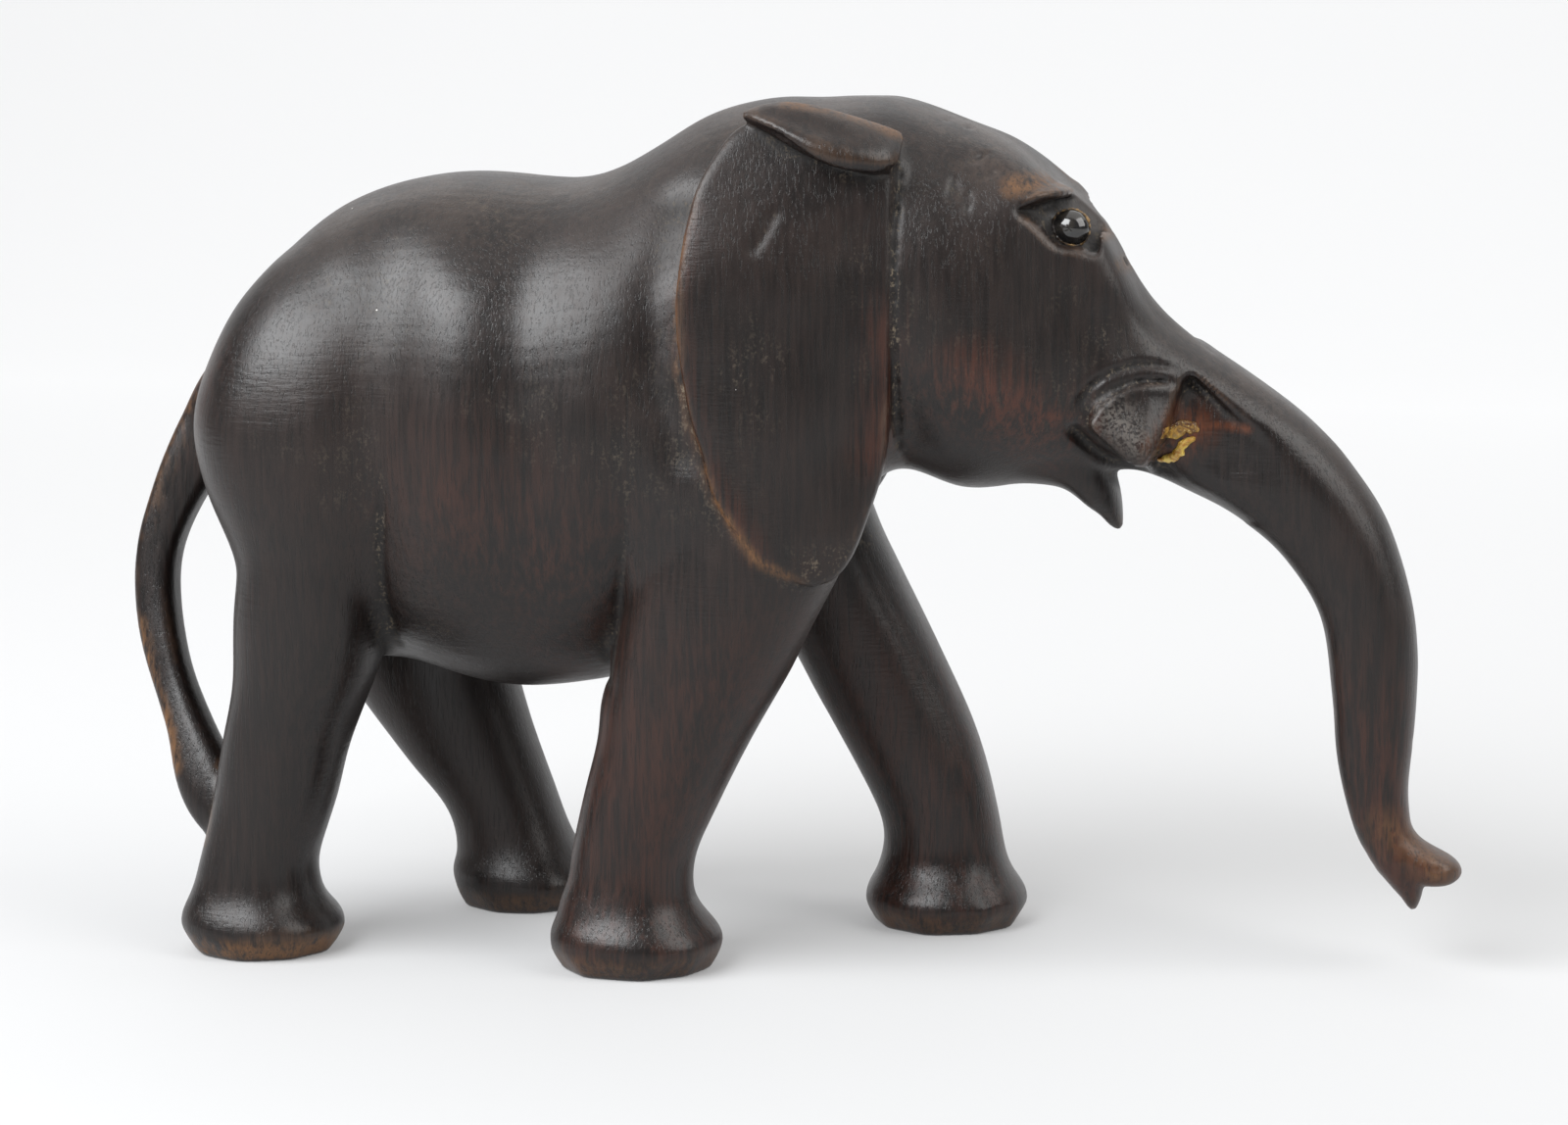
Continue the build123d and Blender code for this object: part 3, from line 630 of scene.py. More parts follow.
def nets(F, h=None, o=None):
    """Surface nets: quads on the zero level, inside negative."""
    h, o = (H, i0) if h is None else (h, o)
    nx, ny, nz = F.shape
    S = F < 0
    tot = np.zeros((nx - 1, ny - 1, nz - 1), np.int8)
    for a in (0, 1):
        for b in (0, 1):
            for c in (0, 1):
                tot += S[a:nx - 1 + a, b:ny - 1 + b, c:nz - 1 + c]
    act = (tot > 0) & (tot < 8)
    idx = np.full(act.shape, -1, np.int64)
    I, J, K = np.nonzero(act)
    idx[I, J, K] = np.arange(len(I))
    corner = [(0, 0, 0), (1, 0, 0), (0, 1, 0), (1, 1, 0), (0, 0, 1), (1, 0, 1), (0, 1, 1), (1, 1, 1)]
    val = [F[I + a, J + b, K + c] for a, b, c in corner]
    acc = np.zeros((len(I), 3))
    cnt = np.zeros(len(I))
    for p in range(8):
        for q in range(p + 1, 8):
            a, b = corner[p], corner[q]
            if sum(abs(a[m] - b[m]) for m in range(3)) != 1:
                continue
            va, vb = val[p], val[q]
            x = (va < 0) != (vb < 0)
            t = np.where(x, va / np.where(x, va - vb, 1), 0)
            for m in range(3):
                acc[:, m] += np.where(x, a[m] + t * (b[m] - a[m]), 0)
            cnt += x
    V = (np.stack([I, J, K], 1) + acc / cnt[:, None] + o) * h
    quads = []
    for ax in range(3):
        s1, s2 = [slice(None)] * 3, [slice(None)] * 3
        s1[ax], s2[ax] = slice(0, -1), slice(1, None)
        A, B = S[tuple(s1)], S[tuple(s2)]
        o1, o2 = [m for m in range(3) if m != ax]
        lim = [slice(None)] * 3
        lim[o1] = lim[o2] = slice(1, -1)
        base = np.zeros(3, int)
        base[o1] = base[o2] = 1
        e = np.argwhere((A != B)[tuple(lim)]) + base
        first = A[tuple(e.T)]

        def cell(d1, d2):
            c = e.copy()
            c[:, o1] -= d1
            c[:, o2] -= d2
            return idx[c[:, 0], c[:, 1], c[:, 2]]

        q = np.stack([cell(1, 1), cell(0, 1), cell(0, 0), cell(1, 0)], 1)
        flip = first if ax != 1 else ~first
        q[~flip] = q[~flip][:, ::-1]
        quads.append(q)
    return V, np.concatenate(quads)


def sample(F, P):
    """Trilinear read of a grid at points (n, 3)."""
    q = P / H - i0
    i = np.clip(np.floor(q).astype(int), 0, np.array(F.shape) - 2)
    f = q - i
    out = 0
    for a in (0, 1):
        for b in (0, 1):
            for c in (0, 1):
                w = (f[:, 0] if a else 1 - f[:, 0]) * (f[:, 1] if b else 1 - f[:, 1]) * (f[:, 2] if c else 1 - f[:, 2])
                out = out + w * F[i[:, 0] + a, i[:, 1] + b, i[:, 2] + c]
    return out


def slope(F, P, e=0.45):
    g = np.stack([sample(F, P + d) - sample(F, P - d) for d in np.eye(3) * e], 1)
    return g / np.maximum(np.linalg.norm(g, axis=1, keepdims=True), 1e-9)


body = blur(body, 0.26 / H)
V, Q = nets(body)
# settle the points on the true surface
for _ in range(2):
    n = slope(body, V)
    V = V - n * np.clip(sample(body, V), -0.4, 0.4)[:, None]
n = slope(body, V)
# a hand-held knife leaves broad shallow flats
P3 = V
wave = 0.17 * lattice(P3, 13.0, 3) + 0.07 * lattice(P3, 6.0, 5)
wave *= step(V[:, 2], 0.5, 5.0)
for c, r in (((48.1, 118.05), 5.0), ((65.5, 85.5), 6.0)):
    wave *= step(np.hypot(V[:, 0] - c[0], V[:, 2] - c[1]), r, r + 5)
V = V - n * wave[:, None]
V[:, 2] = np.maximum(V[:, 2], 0.0)
print("mesh", len(V), len(Q))
# ---- small pieces: beads, bedding, glue --------------------------------------
def seat_offset(P):
    """Distance from the wood, in millimetres, outside positive."""
    return sample(body, np.asarray(P, float))


def bead_mesh(side):
    """A blown bead: a dome slightly flattened on its face, with a ground girdle."""
    rng = np.random.RandomState(41 + side)
    v, f = [], []
    nu, nv = 64, 36
    for j in range(nv + 1):
        th = math.pi * j / nv
        for i in range(nu):
            ph = 2 * math.pi * i / nu
            r = 2.97 - 0.10 * math.exp(-(th / 0.55) ** 2) - 0.05 * math.exp(-((th - 1.52) / 0.09) ** 2)
            r += 0.02 * math.sin(3 * ph + 1.3) * math.sin(th) + 0.012 * math.sin(5 * ph + 2 * th)
            v.append((r * math.sin(th) * math.cos(ph), side * r * math.cos(th), r * math.sin(th) * math.sin(ph)))
    for j in range(nv):
        for i in range(nu):
            a, b = j * nu + i, j * nu + (i + 1) % nu
            q = (a, b, b + nu, a + nu)
            f.append(q if side < 0 else q[::-1])
    # weld the poles
    top, bot = len(v), len(v) + 1
    v += [tuple(np.mean(v[:nu], 0)), tuple(np.mean(v[-nu - 0 - 2:-2] if False else v[nv * nu:nv * nu + nu], 0))]
    out = []
    for q in f:
        q = [top if k < nu else (bot if nv * nu <= k < top else k) for k in q]
        p = []
        for k in q:
            if k not in p:
                p.append(k)
        if len(p) > 2:
            out.append(p)
    c = (EYE_R_C if side < 0 else EYE_L_C) * [1, side, 1]
    used = sorted({k for q in out for k in q})
    back = {k: n for n, k in enumerate(used)}
    return np.array([v[k] for k in used]) + c, [[back[k] for k in q] for q in out]


def bedding_mesh(side):
    """Thin crust squeezed out round the bead, where it meets its socket."""
    c = (EYE_R_C if side < 0 else EYE_L_C) * [1, side, 1]
    n, m = 120, 12
    path = []
    for i in range(n):
        ph = 2 * math.pi * i / n
        th = np.linspace(0.15, 1.75, 90)
        P = c + 2.99 * np.stack([np.sin(th) * math.cos(ph), side * np.cos(th), np.sin(th) * math.sin(ph)], 1)
        d = seat_offset(P)
        k = int(np.argmax(d < 0.05)) if (d < 0.05).any() else 70
        path.append(th[k])
    path = np.array(path)
    for _ in range(6):
        path = (np.roll(path, 1) + 2 * path + np.roll(path, -1)) / 4
    v, f = [], []
    for i in range(n):
        ph = 2 * math.pi * i / n
        th = path[i] - 0.02
        rad = np.array([math.sin(th) * math.cos(ph), side * math.cos(th), math.sin(th) * math.sin(ph)])
        tan = np.array([math.cos(th) * math.cos(ph), -side * math.sin(th), math.cos(th) * math.sin(ph)])
        w = 0.21 + 0.06 * math.sin(5 * ph + side) * math.sin(2.3 * ph) + 0.05 * math.sin(17 * ph)
        for j in range(m):
            a = 2 * math.pi * j / m
            rr = w * (1 + 0.18 * math.sin(3 * a + 9 * ph) + 0.10 * math.sin(29 * ph + 2 * a))
            v.append(c + 3.0 * rad + rad * rr * 0.8 * math.sin(a) + tan * rr * 1.2 * math.cos(a))
    for i in range(n):
        for j in range(m):
            a, b = i * m + j, ((i + 1) % n) * m + j
            a2, b2 = i * m + (j + 1) % m, ((i + 1) % n) * m + (j + 1) % m
            q = [a, b, b2, a2]
            f.append(q if side > 0 else q[::-1])
    return np.array(v), f


def glue_mesh(side):
    """Crusty dried glue, lumpy, in the cut-back seat."""
    h = 0.16
    lo, hi = np.array([60.0, 6.6 if side > 0 else -15.6, 79.8]), np.array([70.2, 15.6 if side > 0 else -6.6, 90.6])
    o = np.floor(lo / h).astype(int)
    cnt = np.ceil((hi - lo) / h).astype(int)
    ax = [(o[k] + np.arange(cnt[k])) * h for k in range(3)]
    X, Y, Z = np.meshgrid(*ax, indexing="ij")
    P = np.stack([X.ravel(), Y.ravel(), Z.ravel()], 1)
    wood_d = sample(body, P).reshape(X.shape)
    x2, z2 = X[:, 0, :], Z[:, 0, :]

    def stroke(pts):
        p = np.array(pts, float)
        best = np.full(x2.shape, 99.0)
        for a, b in zip(p[:-1], p[1:]):
            d = b - a
            t = np.clip(((x2 - a[0]) * d[0] + (z2 - a[1]) * d[1]) / (d[0] ** 2 + d[1] ** 2), 0, 1)
            r = a[2] + t * d[2]
            best = np.minimum(best, np.hypot(x2 - a[0] - t * d[0], z2 - a[1] - t * d[1]) - r)
        return best
    q = np.stack([x2.ravel(), np.zeros(x2.size) + side * 3.0, z2.ravel()], 1)
    l1 = lattice(q, 0.9, 71 + side).reshape(x2.shape)
    l2 = lattice(q, 0.42, 75 + side).reshape(x2.shape)
    l3 = lattice(q, 0.24, 79 + side).reshape(x2.shape)
    e = 0.30 * l1 + 0.18 * l2
    main = stroke([(61.6, 81.7, .5), (62.8, 82.0, .8), (64.4, 82.6, .75), (65.0, 83.9, .8), (65.8, 84.9, .7), (66.9, 85.3, .45)]) + e
    patch = stroke([(63.2, 86.4, .9), (64.8, 87.0, 1.5), (66.6, 87.6, 1.0), (67.4, 87.0, .5)]) + 1.8 * e
    th = np.where(main < 0, 0.85 * np.sqrt(np.clip(-main / 0.75, 0, 1)), 0) + np.where(patch < 0, 0.45 * np.sqrt(np.clip(-patch / 0.6, 0, 1)), 0)
    th = th * (1 + 0.35 * l2 + 0.25 * l3)
    inside = np.minimum(main, patch)
    F = wood_d - th[:, None, :]
    F = np.maximum(F, -(wood_d + 0.45))
    F = np.maximum(F, inside[:, None, :] + 0.02)
    F = blur(F.astype(np.float32), 0.7)
    F[[0, -1]] = 1; F[:, [0, -1]] = 1; F[:, :, [0, -1]] = 1
    return nets(F, h, o)


# ---- paint masks on the wood --------------------------------------------------
def near(P, pts, r):
    """1 on a poly-line over XZ, fading to 0 at r."""
    k, t = line2(P[:, 0], P[:, 2], pts)
    return np.clip(1 - k / r, 0, 1)


def paint(V, n):
    soft = blur(body, 1.1 / H)
    broad = blur(body, 2.6 / H)
    c1, c2 = sample(soft, V), sample(broad, V)
    wear_and_underside_shade = np.clip((c1 - 0.10) / 0.42, 0, 1) + 0.5 * np.clip((c2 - 0.45) / 1.2, 0, 1)
    # concavity mask: drives the painted shade in the hollows and the pale dust caught there
    cav = np.clip((-c1 - 0.05) / 0.30, 0, 1)
    x, y, z = V.T
    s = -np.sign(y)
    red = np.zeros(len(V))
    red += 1.15 * near(V, [(34.0, 94.0), (40.0, 90.4), (46.0, 87.0)], 9.5) * step(np.abs(y), 6, 12)
    red += 0.55 * near(V, [(20.5, 104), (21.5, 92), (20.4, 84)], 6.0)
    red += 0.55 * step(60 - z, 0, 30) * (x > 60)
    red += 0.32 * step(70 - z, 0, 30) * (np.abs(x - 3) < 40) * step(x, -40, -30)
    red += 0.35 * near(V, [(-44, 76), (-30, 66)], 20)
    red += 0.45 * near(V, [(-92, 96), (-98, 84)], 10)
    red += 0.5 * near(V, [(-8.5, 121), (-9.8, 104), (-6, 84), (2.5, 68.5)], 3.2) * step(np.abs(y), 27, 31)
    ochre = np.zeros(len(V))
    ochre += 1.0 * near(V, [(-107.6, 50), (-104.6, 40.5), (-101.4, 33.5), (-100, 29)], 3.4)
    ochre += 0.35 * near(V, [(-99, 88.5), (-104.5, 77), (-107.4, 68)], 4.0)
    ochre += 0.55 * near(V, [(-97.5, 92), (-92.5, 101)], 5.0)
    ochre += 0.6 * step(4.6 - z, 0, 2.2) * step(z, 0.1, 0.9) * np.clip(0.35 + (x < -60) * 0.6, 0, 1)
    ochre += 0.35 * near(V, [(-90.6, 29), (-89.4, 24), (-90.6, 18.5)], 1.6)
    ochre += 0.6 * near(V, [(39.5, 124.6), (43.6, 125.4), (47.4, 124.6)], 2.4) * step(np.abs(y), 5, 9)
    ochre += 0.35 * near(V, [(52.6, 117.6), (53.4, 117.0)], 1.4) + 0.35 * near(V, [(55.4, 112.6), (56.2, 112.0)], 1.4)
    ochre += 0.75 * near(V, [(6, 138), (13, 137.2), (20, 134.8), (25, 131.8)], 1.7) * step(np.abs(y), 17, 21)
    ochre += 0.65 * near(V, [(-9.2, 117), (-10.4, 108), (-10.0, 97), (-7.6, 87), (-4.0, 77), (2.2, 67.6), (9.5, 63.4)], 1.3) * step(np.abs(y), 29, 33)
    ochre += 0.5 * near(V, [(98, 24), (103, 21), (106, 17)], 5.0) * 0.6
    stain = near(V, [(64.0, 84.0), (66.6, 87.2)], 5.4) * step(np.abs(y), 7, 10)
    stain = np.maximum(stain, 0.9 * near(V, [(67.6, 87.2), (71.0, 87.6), (75.4, 87.0)], 1.1) * step(np.abs(y), 7, 10))
    rough = 0.9 * near(V, [(55.0, 89.4), (57.6, 87.6), (59.4, 85.2)], 4.4) * step(np.abs(y), 9, 12)
    dust = cav * (0.5 + 0.5 * lattice(V, 3.0, 91))
    dust += 0.5 * near(V, [(22.3, 128), (22.4, 104), (22.1, 84)], 1.2) * step(np.abs(y), 15, 20)
    dust += 0.45 * near(V, [(51.0, 87.6), (51.9, 89.6), (53.8, 91.9), (57.8, 94.1), (63.2, 94.4)], 1.1) * step(np.abs(y), 9, 12)
    dust += 0.6 * step(72 - z, 0, 5) * step(z, 60, 66) * near(V, [(12, 66), (18, 70)], 7)
    # painted highlight mask: surfaces facing up, strongest on the crown
    lit = step(n[:, 2], 0.30, 0.95) * step(x, 14, 34) + 0.6 * step(n[:, 2], 0.5, 0.95) * (1 - step(x, 14, 34))
    # painted shade: the wear colour is faded on surfaces facing down
    wear_and_underside_shade = wear_and_underside_shade * (0.35 + 0.65 * step(n[:, 2], -0.5, 0.0))
    stroke = near(V, [(-6.5, 121), (-6.6, 108), (-5.5, 96), (-2.0, 84), (2.5, 74)], 6.5) * step(np.abs(y), 25, 29)
    stroke = np.maximum(stroke, 0.8 * near(V, [(31, 112), (36, 104), (44, 97)], 7.0) * step(np.abs(y), 10, 14))
    stroke = np.maximum(stroke, 0.55 * near(V, [(-84, 96), (-72, 92), (-62, 88)], 9.0) * step(np.abs(y), 10, 14))
    return np.stack([wear_and_underside_shade, cav, np.clip(red, 0, 1), np.clip(stroke, 0.001, 1)], 1), np.stack([np.clip(ochre, 0, 1), np.clip(stain, 0, 1), np.clip(dust, 0, 1), np.clip(rough, 0.001, 1)], 1), np.stack([lit, lit, lit, np.ones_like(z)], 1)


# ---- materials ------------------------------------------------------------------
class Net:
    def __init__(self, name):
        self.m = bpy.data.materials.new(name)
        self.m.use_nodes = True
        self.t = self.m.node_tree
        self.b = self.t.nodes["Principled BSDF"]

    def link(self, a, b):
        self.t.links.new(a, b)

    def put(self, sock, v):
        if hasattr(v, "is_linked"):
            self.link(v, sock)
        elif isinstance(v, (tuple, list)) and len(v) == 3 and sock.type == "RGBA":
            sock.default_value = (*v, 1)
        else:
            sock.default_value = v

    def node(self, kind, **kw):
        n = self.t.nodes.new(kind)
        for k, v in kw.items():
            setattr(n, k, v)
        return n

    def coord(self, scale=(1, 1, 1), loc=(0, 0, 0), rot=(0, 0, 0)):
        c = self.node("ShaderNodeTexCoord")
        m = self.node("ShaderNodeMapping")
        m.inputs["Scale"].default_value = scale
        m.inputs["Location"].default_value = loc
        m.inputs["Rotation"].default_value = rot
        self.link(c.outputs["Object"], m.inputs["Vector"])
        return m.outputs[0]

    def noise(self, scale, vec, detail=3.0, rough=0.55, dist=0.0):
        n = self.node("ShaderNodeTexNoise")
        n.inputs["Scale"].default_value = scale
        n.inputs["Detail"].default_value = detail
        n.inputs["Roughness"].default_value = rough
        n.inputs["Distortion"].default_value = dist
        self.link(vec, n.inputs["Vector"])
        return n.outputs["Fac"]

    def ramp(self, v, a, b, lo=0.0, hi=1.0, smooth=True):
        n = self.node("ShaderNodeMapRange")
        n.interpolation_type = "SMOOTHSTEP" if smooth else "LINEAR"
        n.inputs[1].default_value = a
        n.inputs[2].default_value = b
        n.inputs[3].default_value = lo
        n.inputs[4].default_value = hi
        self.link(v, n.inputs[0])
        return n.outputs[0]

    def math(self, op, a, b=0.0, clamp=False):
        n = self.node("ShaderNodeMath")
        n.operation = op
        n.use_clamp = clamp
        self.put(n.inputs[0], a)
        self.put(n.inputs[1], b)
        return n.outputs[0]

    def mix(self, f, a, b):
        n = self.node("ShaderNodeMix")
        n.data_type = "RGBA"
        self.put(n.inputs[0], f)
        self.put(n.inputs[6], a)
        self.put(n.inputs[7], b)
        return n.outputs[2]

    def attr(self, name):
        a = self.node("ShaderNodeAttribute")
        a.attribute_name = name
        s = self.node("ShaderNodeSeparateColor")
        self.link(a.outputs["Color"], s.inputs[0])
        return s.outputs[0], s.outputs[1], s.outputs[2], a.outputs["Alpha"]

    def bump(self, h, strength, dist, base=None):
        n = self.node("ShaderNodeBump")
        n.inputs["Strength"].default_value = strength
        n.inputs["Distance"].default_value = dist
        self.link(h, n.inputs["Height"])
        if base is not None:
            self.link(base, n.inputs["Normal"])
        return n.outputs[0]


def wood_material():
    w = Net("ebony_stained_wood")
    wear_and_underside_shade, cav, red, stroke = w.attr("marks_and_shade")
    lit = w.attr("painted_top_highlight")[0]
    ochre, stain, dust, rough = w.attr("stains")
    streak = w.noise(1.0, w.coord((1150, 1150, 62)), 5.0, 0.62, 0.25)
    pores = w.noise(1.0, w.coord((2900, 2900, 170), (3, 1, 7)), 2.0, 0.5)
    grit = w.noise(1900.0, w.coord(loc=(5, 2, 1)), 3.0, 0.6)
    patch = w.noise(30.0, w.coord(loc=(1, 4, 2)), 4.0, 0.6, 0.4)
    patch2 = w.noise(90.0, w.coord((1, 1, 0.45), (7, 4, 9)), 4.0, 0.62, 0.3)
    fleck = w.noise(1.0, w.coord((900, 900, 260), (2, 8, 3)), 4.0, 0.65)
    s1 = w.ramp(streak, 0.38, 0.66)
    col = w.mix(s1, (0.0058, 0.0036, 0.0031), (0.0125, 0.0071, 0.0056))
    col = w.mix(w.math("MULTIPLY", w.ramp(patch, 0.45, 0.68), 0.5), col, (0.0175, 0.0085, 0.0060))
    # worn, redder zones, showing through in vertical streaks
    r = w.math("MULTIPLY", red, w.ramp(w.math("ADD", w.math("MULTIPLY", streak, 0.6), w.math("MULTIPLY", patch2, 0.5)), 0.44, 0.68))
    col = w.mix(r, col, (0.060, 0.0165, 0.0078))
    # handled upper surfaces have dried out paler
    # painted highlight: surfaces facing up are made paler, standing in for light from above
    top_highlight = w.math("MULTIPLY", lit, w.ramp(w.math("ADD", w.math("MULTIPLY", patch2, 0.6), w.math("MULTIPLY", fleck, 0.4)), 0.40, 0.60))
    col = w.mix(w.math("MULTIPLY", top_highlight, 0.65), col, (0.060, 0.042, 0.033))
    # warm rubbed edges, faded on the undersides as painted shade
    e = w.math("MULTIPLY", w.ramp(w.math("ADD", wear_and_underside_shade, w.math("MULTIPLY", w.math("SUBTRACT", fleck, 0.5), 1.1)), 0.30, 0.95), w.ramp(patch2, 0.36, 0.62))
    col = w.mix(w.math("MULTIPLY", e, 0.42), col, (0.085, 0.047, 0.027))
    o = w.math("MULTIPLY", ochre, w.ramp(w.math("ADD", w.math("MULTIPLY", fleck, 0.7), w.math("MULTIPLY", patch2, 0.45)), 0.44, 0.68))
    col = w.mix(o, col, (0.20, 0.092, 0.032))
    # painted shade: the hollows are darkened, with a little pale residue caught in them
    col = w.mix(w.math("MULTIPLY", w.ramp(cav, 0.05, 0.9), 0.75), col, (0.0045, 0.0035, 0.0032))
    d = w.math("MULTIPLY", dust, w.ramp(w.math("ADD", w.math("MULTIPLY", grit, 0.55), w.math("MULTIPLY", fleck, 0.5)), 0.54, 0.66))
    col = w.mix(w.math("MULTIPLY", d, 0.8), col, (0.17, 0.135, 0.095))
    st = w.math("MULTIPLY", stain, w.ramp(w.math("ADD", w.math("MULTIPLY", patch2, 0.5), w.math("MULTIPLY", fleck, 0.6)), 0.42, 0.66))
    col = w.mix(st, col, (0.115, 0.030, 0.008))
    # rough unpolished facet of the lip
    rf = w.math("MULTIPLY", rough, w.ramp(grit, 0.38, 0.60))
    col = w.mix(w.math("MULTIPLY", rf, 0.8), col, (0.105, 0.092, 0.080))
    # open pores
    pr = w.ramp(pores, 0.34, 0.44, 1.0, 0.0)
    col = w.mix(w.math("MULTIPLY", pr, 0.55), col, (0.004, 0.0034, 0.003))
    # sparse white specks of dust
    vo = w.node("ShaderNodeTexVoronoi")
    vo.inputs["Scale"].default_value = 120.0
    w.link(w.coord(loc=(0.3, 0.1, 0.2)), vo.inputs["Vector"])
    sep = w.node("ShaderNodeSeparateColor")
    w.link(vo.outputs["Color"], sep.inputs[0])
    speck = w.math("MULTIPLY", w.ramp(vo.outputs["Distance"], 0.012, 0.019, 1.0, 0.0), w.ramp(sep.outputs[0], 0.86, 0.90))
    col = w.mix(speck, col, (0.62, 0.60, 0.56))
    w.link(col, w.b.inputs["Base Color"])
    ro = w.ramp(patch, 0.35, 0.70, 0.33, 0.44)
    ro = w.math("ADD", ro, w.math("MULTIPLY", w.math("SUBTRACT", streak, 0.5), 0.16))
    ro = w.math("ADD", ro, w.math("MULTIPLY", w.math("MAXIMUM", w.math("MAXIMUM", d, o), w.math("MAXIMUM", rf, speck)), 0.30))
    ro = w.math("ADD", ro, w.math("MULTIPLY", w.ramp(cav, 0.1, 1.0), 0.25), clamp=True)
    w.link(ro, w.b.inputs["Roughness"])
    w.b.inputs["Specular IOR Level"].default_value = 0.42
    w.b.inputs["Coat Weight"].default_value = 0.03
    w.b.inputs["Coat Roughness"].default_value = 0.2
    # chatter of the scraper: short horizontal ripples, only in places
    chat = w.noise(1.0, w.coord((210, 210, 1500), (1, 2, 3), (0.0, 0.10, 0.0)), 2.0, 0.5, 0.2)
    cm = w.math("MULTIPLY", chat, w.ramp(w.noise(26.0, w.coord(loc=(9, 3, 5)), 2.0), 0.46, 0.66))
    nb = w.bump(w.math("SUBTRACT", streak, w.math("MULTIPLY", pr, 0.55)), 0.38, 0.00012)
    nb = w.bump(cm, 0.42, 0.00016, nb)
    knife = w.noise(1.0, w.coord((380, 380, 2300), (3, 1, 2), (0.0, -0.55, 0.0)), 2.0, 0.5, 0.3)
    nb = w.bump(w.math("MULTIPLY", knife, stroke), 0.5, 0.00014, nb)
    nb = w.bump(w.math("ADD", grit, w.math("MULTIPLY", w.math("MULTIPLY", rough, grit), 3.0)), 0.30, 0.00006, nb)
    w.link(nb, w.b.inputs["Normal"])
    return w.m


def bead_material():
    w = Net("black_glass_bead")
    smear = w.noise(260.0, w.coord((1, 1, 2.2)), 3.0, 0.6, 0.5)
    fine = w.noise(1700.0, w.coord(), 2.0)
    w.link(w.mix(w.ramp(smear, 0.4, 0.7), (0.0045, 0.0045, 0.005), (0.020, 0.017, 0.014)), w.b.inputs["Base Color"])
    w.link(w.math("ADD", w.ramp(smear, 0.35, 0.72, 0.06, 0.20), w.math("MULTIPLY", fine, 0.05)), w.b.inputs["Roughness"])
    w.link(w.bump(fine, 0.06, 0.00003), w.b.inputs["Normal"])
    w.b.inputs["Specular IOR Level"].default_value = 0.6
    w.b.inputs["Coat Weight"].default_value = 0.5
    w.b.inputs["Coat Roughness"].default_value = 0.05
    return w.m


def bedding_material():
    w = Net("golden_brown_bedding")
    n1 = w.noise(900.0, w.coord(), 4.0, 0.65)
    n2 = w.noise(260.0, w.coord(loc=(1, 2, 3)), 2.0)
    c = w.mix(w.ramp(n1, 0.40, 0.62), (0.020, 0.011, 0.006), (0.22, 0.13, 0.045))
    c = w.mix(w.ramp(n2, 0.46, 0.62), c, (0.014, 0.009, 0.007))
    w.link(c, w.b.inputs["Base Color"])
    w.link(w.ramp(n1, 0.3, 0.7, 0.38, 0.66), w.b.inputs["Roughness"])
    w.link(w.bump(n1, 0.5, 0.00012), w.b.inputs["Normal"])
    return w.m


def glue_material():
    w = Net("dried_yellow_glue")
    n1 = w.noise(520.0, w.coord(), 5.0, 0.68, 0.6)
    n2 = w.noise(2400.0, w.coord(loc=(4, 1, 2)), 3.0, 0.6)
    hgt = w.node("ShaderNodeSeparateXYZ")
    w.link(w.coord(), hgt.inputs[0])
    up = w.ramp(w.math("ADD", hgt.outputs[2], w.math("MULTIPLY", w.math("SUBTRACT", n1, 0.5), 0.004)), 0.0845, 0.0868)
    c = w.mix(w.ramp(n1, 0.34, 0.60), (0.34, 0.155, 0.018), (0.66, 0.47, 0.10))
    amber = w.mix(w.ramp(n1, 0.45, 0.63), (0.070, 0.024, 0.006), (0.36, 0.20, 0.035))
    c = w.mix(up, c, amber)
    c = w.mix(w.ramp(n2, 0.60, 0.72), c, (0.78, 0.66, 0.30))
    w.link(c, w.b.inputs["Base Color"])
    w.link(w.ramp(n1, 0.3, 0.7, 0.22, 0.52), w.b.inputs["Roughness"])
    w.link(w.bump(w.math("ADD", n1, w.math("MULTIPLY", n2, 0.4)), 0.7, 0.00025), w.b.inputs["Normal"])
    w.b.inputs["Subsurface Weight"].default_value = 0.12
    w.b.inputs["Subsurface Radius"].default_value = (0.0012, 0.0007, 0.0002)
    w.b.inputs["Subsurface Scale"].default_value = 0.6
    return w.m


def add_mesh(name, V, F, node, mat, marks_and_shade=None):
    V = np.array(V, float)
    V[:, 0] += DX
    lo, hi = np.array(CAD_BOX[0]) * 1000 + 1e-3, np.array(CAD_BOX[1]) * 1000 - 1e-3
    V = np.clip(V, [lo[0], lo[1], 0.0], hi) * 0.001
    me = bpy.data.meshes.new(name)
    if isinstance(F, np.ndarray):
        me.vertices.add(len(V))
        me.vertices.foreach_set("co", V.astype(np.float32).ravel())
        me.loops.add(F.size)
        me.loops.foreach_set("vertex_index", F.astype(np.int32).ravel())
        me.polygons.add(len(F))
        me.polygons.foreach_set("loop_start", np.arange(0, F.size, F.shape[1], dtype=np.int32))
        me.update(calc_edges=True)
    else:
        me.from_pydata(V.tolist(), [], [list(map(int, f)) for f in F])
        me.update()
    me.polygons.foreach_set("use_smooth", np.ones(len(me.polygons), bool))
    for key, a in (marks_and_shade or {}).items():
        at = me.attributes.new(key, "FLOAT_COLOR", "POINT")
        at.data.foreach_set("color", a.astype(np.float32).ravel())
    me.validate()
    me.materials.append(mat)
    ob = bpy.data.objects.new(name, me)
    bpy.context.scene.collection.objects.link(ob)
    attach(ob, "root")
    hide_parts(node)
    return ob


